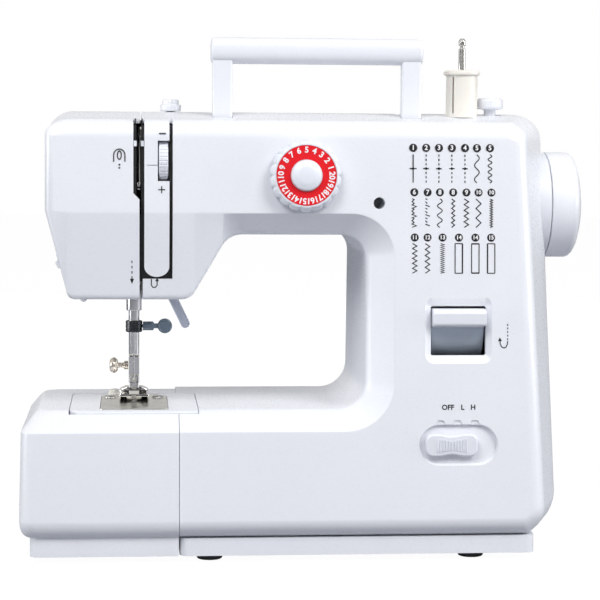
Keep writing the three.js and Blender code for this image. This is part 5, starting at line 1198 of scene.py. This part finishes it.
def chart():
    lines, solids, numbers = [], [], []
    dx = X_COLUMN - 31.5
    rows = [
        (241.2, 237.4, 221.0, [57.6, 65.2, 72.7, 80.3, 88.0, 95.0, 102.7],
         ["1", "2", "3", "3", "4", "5", "5"]),
        (215.4, 211.7, 195.1, [58.3, 66.1, 73.3, 81.1, 88.9, 96.0, 103.6],
         ["6", "7", "8", "8", "9", "10", "10"]),
        (189.2, 185.7, 168.5, [58.6, 66.1, 74.9, 84.5, 94.2, 103.5], ["11", "12", "13", "14", "14", "15"]),
    ]

    def diamond(x, z, r=0.95):
        solids.append([(x - r, z), (x, z - r), (x + r, z), (x, z + r)])

    for row, (zc, z1, z0, xs, names) in enumerate(rows):
        for k, (x, label) in enumerate(zip(xs, names)):
            x += dx
            solids.append(arc(x, zc, 2.35, 2.35, 0, 360, 40)[:-1])
            numbers.append((label, x, zc))
            mid = (z1 + z0) / 2
            if row == 0 and k == 0:
                lines.append([(x, z1), (x, z0)])
                diamond(x, mid)
                lines += [[(x - 2, mid), (x + 2, mid)]]
            elif row == 0 and k <= 4:
                lines += dashes(x, z1, z0, 7)
                diamond(x, mid)
                lines += [[(x - 1.6, mid), (x + 1.6, mid)]]
            elif row == 0:
                lines.append(wave(x, z1, z0, 2 if k == 5 else 4.5, 1.4 if k == 5 else 1.1))
            elif row == 1:
                pick = [blind_hem(x, z1, z0, 3, 1.3), None, wave(x, z1, z0, 3, 1.4),
                        zigzag(x, z1, z0, 12, 0.9),
                        zigzag(x, z1, z0, 10, 1.3), zigzag(x, z1, z0, 6, 1.5),
                        zigzag(x, z1, z0, 24, 0.7)][k]
                if pick:
                    lines.append(pick)
                else:
                    hem = blind_hem(x, z1, z0, 3, 1.3)
                    lines += [hem[i:i + 2] for i in range(0, len(hem) - 1, 2)]
            elif k < 3:
                lines.append(zigzag(x, z1, z0, [12, 10, 30][k], [1.3, 1.3, 1.1][k]))
            else:
                w = 2.2
                frame_line = [(x - w, z1), (x + w, z1), (x + w, z0), (x - w, z0)]
                for i in range(4):
                    lines.append([frame_line[i], frame_line[(i + 1) % 4]])
                if k == 3:
                    solids.append([(x + w - 0.5, z0), (x + w + 0.3, z0), (x + w + 0.3, z1),
                                   (x + w - 0.5, z1)])
                if k == 4:
                    solids += [[(x - w, z1 - 0.5), (x + w, z1 - 0.5), (x + w, z1 + 0.3), (x - w, z1 + 0.3)],
                               [(x - w, z0 - 0.3), (x + w, z0 - 0.3), (x + w, z0 + 0.5), (x - w, z0 + 0.5)]]
                if k == 5:
                    solids.append([(x - w - 0.3, z0), (x - w + 0.5, z0), (x - w + 0.5, z1),
                                   (x - w - 0.3, z1)])
    return lines, solids, numbers


def prints():
    lines, solids, numbers = chart()
    dx = X_COLUMN - 31.5
    u = 113.4 + dx
    lines += dashes(u, 139, 129.6, 5)
    hook = [(u, 129), (u - 0.2, 127), (u - 1, 125.5), (u - 2.2, 125), (u - 3.6, 125.7), (u - 4.4, 127.4),
            (u - 4.5, 129.1)]
    lines.append(hook)
    solids.append([(u - 5.7, 129), (u - 3.3, 129), (u - 4.6, 131.2)])
    n = X_NEEDLE + 103.9
    lines.append([(n - 115.5, 232.1)] + arc(n - 112.3, 236, 3.2, 3.4, 180, 0, 12) + [(n - 109.1, 232.1)])
    lines.append(arc(n - 112.3, 235.9, 1.1, 2.4, 0, 360, 20))
    solids += [arc(n - 112.3, z, 0.55, 0.55, 0, 360, 12)[:-1] for z in (230.4, 228.6)]
    lines += dashes(n - 105.1, 175.2, 164.6, 4)
    solids.append([(n - 106.3, 164.6), (n - 103.9, 164.6), (n - 105.1, 161.6)])
    lines.append([(n - 89.6, 248.5), (n - 85.6, 248.5)])
    lines += [[(n - 90.1, 216.2), (n - 86.1, 216.2)], [(n - 88.1, 214.2), (n - 88.1, 218.2)]]
    lines.append([(n - 93.9, 164.4), (n - 93.9, 160.8), (n - 93, 159.6), (n - 91.6, 159.6),
                  (n - 90.6, 160.8), (n - 90.6, 163.4)])
    solids.append([(n - 91.7, 163.2), (n - 89.5, 163.2), (n - 90.6, 165.2)])
    made = [on_front(flat("l", stroke(line))) for line in lines]
    made += [on_front(flat("s", shape)) for shape in solids]
    for text, x, z, size in (("OFF", 78.3, 90.4, 2.9), ("L", 86.9, 90.4, 2.9), ("H", 93.1, 90.4, 2.9)):
        made.append(on_front(moved(text_mesh("t", text, size),
                                   Matrix.Translation(((x + dx) * MM, z * MM, 0)))))
    put(join_all("panel_print", made), "machine", "black", "black")
    digits = [on_front(moved(text_mesh("t", label, 2.7 if len(label) == 1 else 2.3, 0.1),
                             Matrix.Translation((x * MM, z * MM, 0))))
              for label, x, z in numbers]
    put(join_all("panel_print_numbers", digits), "machine", "casing", "white_ink")
    line = on_front(flat("tension_pointer_print", stroke([(n - 96.5, 230.3), (n - 90.4, 230.3)], 0.3)))
    put(line, "machine", "black", "faint")


# ---- Interior: CAD meshes kept, with their real finishes -------------------------------------
def dress_cad():
    finish = {
        "steel": "upper_shaft lower_shaft needle_link hook_race shuttle_hook feed_dog presser_spring",
        "alloy": "chassis needle_crank bobbin_case motor",
        "bronze": "upper_bush_left upper_bush_right",
        "black": "timing_belt motor_belt",
        "board": "speed_board",
        "knob": "drive_pulley timing_pulley_upper motor_pulley bobbin",
    }
    for material, names in finish.items():
        for node in names.split():
            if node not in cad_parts:
                continue
            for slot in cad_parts[node].material_slots:
                slot.material = M[material]


# ---- Stage, lights and camera -----------------------------------------------------------------
def stage():
    floor = make_mesh("floor", [(-6000, -6000, -0.3), (6000, -6000, -0.3), (6000, 6000, -0.3),
                                (-6000, 6000, -0.3)],
                      [(0, 1, 2, 3)])
    mat = bpy.data.materials.new("stage_floor")
    mat.use_nodes = True
    nodes, links = mat.node_tree.nodes, mat.node_tree.links
    nodes.clear()
    out, mix, add = [nodes.new("ShaderNode" + kind) for kind in ("OutputMaterial", "MixShader", "AddShader")]
    path = nodes.new("ShaderNodeLightPath")
    glow, soft, dim = [nodes.new("ShaderNode" + kind) for kind in ("Emission", "BsdfDiffuse", "BsdfDiffuse")]
    glow.inputs["Color"].default_value = (0.975, 0.975, 0.975, 1)
    soft.inputs["Color"].default_value = (0.06, 0.06, 0.06, 1)
    dim.inputs["Color"].default_value = (0.30, 0.31, 0.34, 1)
    links.new(glow.outputs[0], add.inputs[0])
    links.new(soft.outputs[0], add.inputs[1])
    links.new(path.outputs["Is Camera Ray"], mix.inputs["Fac"])
    links.new(dim.outputs[0], mix.inputs[1])
    links.new(add.outputs[0], mix.inputs[2])
    links.new(mix.outputs[0], out.inputs["Surface"])
    floor.data.materials.append(mat)

    world = bpy.data.worlds.new("studio")
    bpy.context.scene.world = world
    world.use_nodes = True
    nodes, links = world.node_tree.nodes, world.node_tree.links
    nodes.clear()
    out, mix = nodes.new("ShaderNodeOutputWorld"), nodes.new("ShaderNodeMixShader")
    path, coords, split = [nodes.new("ShaderNode" + kind) for kind in ("LightPath", "TexCoord", "SeparateXYZ")]
    ramp, back, front = [nodes.new("ShaderNode" + kind) for kind in ("ValToRGB", "Background", "Background")]
    height = nodes.new("ShaderNodeMapRange")
    height.inputs["From Min"].default_value, height.inputs["From Max"].default_value = -1, 1
    links.new(coords.outputs["Generated"], split.inputs[0])
    links.new(split.outputs["Z"], height.inputs["Value"])
    links.new(height.outputs["Result"], ramp.inputs["Fac"])
    stops = ramp.color_ramp.elements
    stops[0].position, stops[0].color = 0.35, (0.10, 0.10, 0.11, 1)
    stops[1].position, stops[1].color = 0.8, (0.21, 0.215, 0.23, 1)
    # bright and dark uprights all round, for the polished metal to mirror
    around, bands = nodes.new("ShaderNodeTexGradient"), nodes.new("ShaderNodeValToRGB")
    around.gradient_type = "RADIAL"
    links.new(coords.outputs["Generated"], around.inputs["Vector"])
    links.new(around.outputs["Fac"], bands.inputs["Fac"])
    marks = [(0.0, 1.5), (0.05, 1.4), (0.07, 0.1), (0.12, 0.1), (0.14, 1.6), (0.19, 1.7), (0.21, 0.08),
             (0.27, 0.08),
             (0.29, 1.5), (0.33, 1.6), (0.35, 0.1), (0.42, 0.12), (0.45, 1.5), (0.55, 1.4), (0.58, 0.3),
             (0.66, 1.0)]
    while len(bands.color_ramp.elements) < len(marks):
        bands.color_ramp.elements.new(0.5)
    for element, (spot, level) in zip(bands.color_ramp.elements, marks):
        element.position, element.color = spot, (level, level * 0.985, level * 0.955, 1)
    links.new(ramp.outputs["Color"], back.inputs["Color"])
    mirror, mix_mirror = nodes.new("ShaderNodeBackground"), nodes.new("ShaderNodeMixShader")
    links.new(bands.outputs["Color"], mirror.inputs["Color"])
    mirror.inputs["Strength"].default_value = 0.62
    links.new(path.outputs["Is Glossy Ray"], mix_mirror.inputs["Fac"])
    links.new(back.outputs[0], mix_mirror.inputs[1])
    links.new(mirror.outputs[0], mix_mirror.inputs[2])
    front.inputs["Color"].default_value = (1, 1, 1, 1)
    links.new(path.outputs["Is Camera Ray"], mix.inputs["Fac"])
    links.new(mix_mirror.outputs[0], mix.inputs[1])
    links.new(front.outputs[0], mix.inputs[2])
    links.new(mix.outputs[0], out.inputs["Surface"])


def lamp(name, at, aim, size, power, color=(1, 1, 1)):
    data = bpy.data.lights.new(name, "AREA")
    data.shape, data.size, data.size_y, data.energy, data.color = "RECTANGLE", size[0], size[1], power, color
    obj = bpy.data.objects.new(name, data)
    bpy.context.scene.collection.objects.link(obj)
    obj.location = at
    obj.rotation_euler = (Vector(aim) - Vector(at)).to_track_quat("-Z", "Y").to_euler()
    return obj


def lights():
    aim = (0, 0, 0.15)
    lamp("key_left", (-0.7, -1.3, 1.55), aim, (0.9, 0.9), 20.5)
    lamp("key_right", (1.1, -1.3, 1.55), aim, (0.9, 0.9), 26)
    lamp("right_fill", (1.95, -0.45, 0.45), aim, (0.9, 0.7), 11)
    lamp("left_fill", (-1.95, -0.15, 0.3), aim, (0.9, 0.7), 15)
    lamp("back_fill", (0.2, 1.9, 0.5), aim, (1.4, 0.7), 12).visible_glossy = False


def camera():
    data = bpy.data.cameras.new("camera")
    data.sensor_width, data.lens = 36, 117.7
    data.clip_start, data.clip_end = 0.05, 50
    cam = bpy.data.objects.new("camera", data)
    bpy.context.scene.collection.objects.link(cam)
    yaw, pitch, roll = math.radians(4.87), math.radians(4.37), math.radians(0.37)
    ahead = Vector((math.sin(yaw) * math.cos(pitch), math.cos(yaw) * math.cos(pitch), -math.sin(pitch)))
    right0 = Vector((math.cos(yaw), -math.sin(yaw), 0))
    up0 = right0.cross(ahead)
    right = right0 * math.cos(roll) + up0 * math.sin(roll)
    up = -right0 * math.sin(roll) + up0 * math.cos(roll)
    turn = Matrix((right, up, -ahead)).transposed().to_4x4()
    cam.matrix_world = Matrix.Translation((-0.1043, -1.1891, 0.2394)) @ turn
    bpy.context.scene.camera = cam
    bpy.context.scene.view_settings.view_transform = "Standard"


camera()
stage()
lights()
casing()
thread_strip()
thread_channel()
extension_table()
base()
free_arm()
needle_plate()
needle_side()
take_up()
tension()
presser()
lifter()
pattern_dial()
reverse_lever()
power_slider()
handwheel()
handle()
top_fittings()
sockets()
prints()
dress_cad()
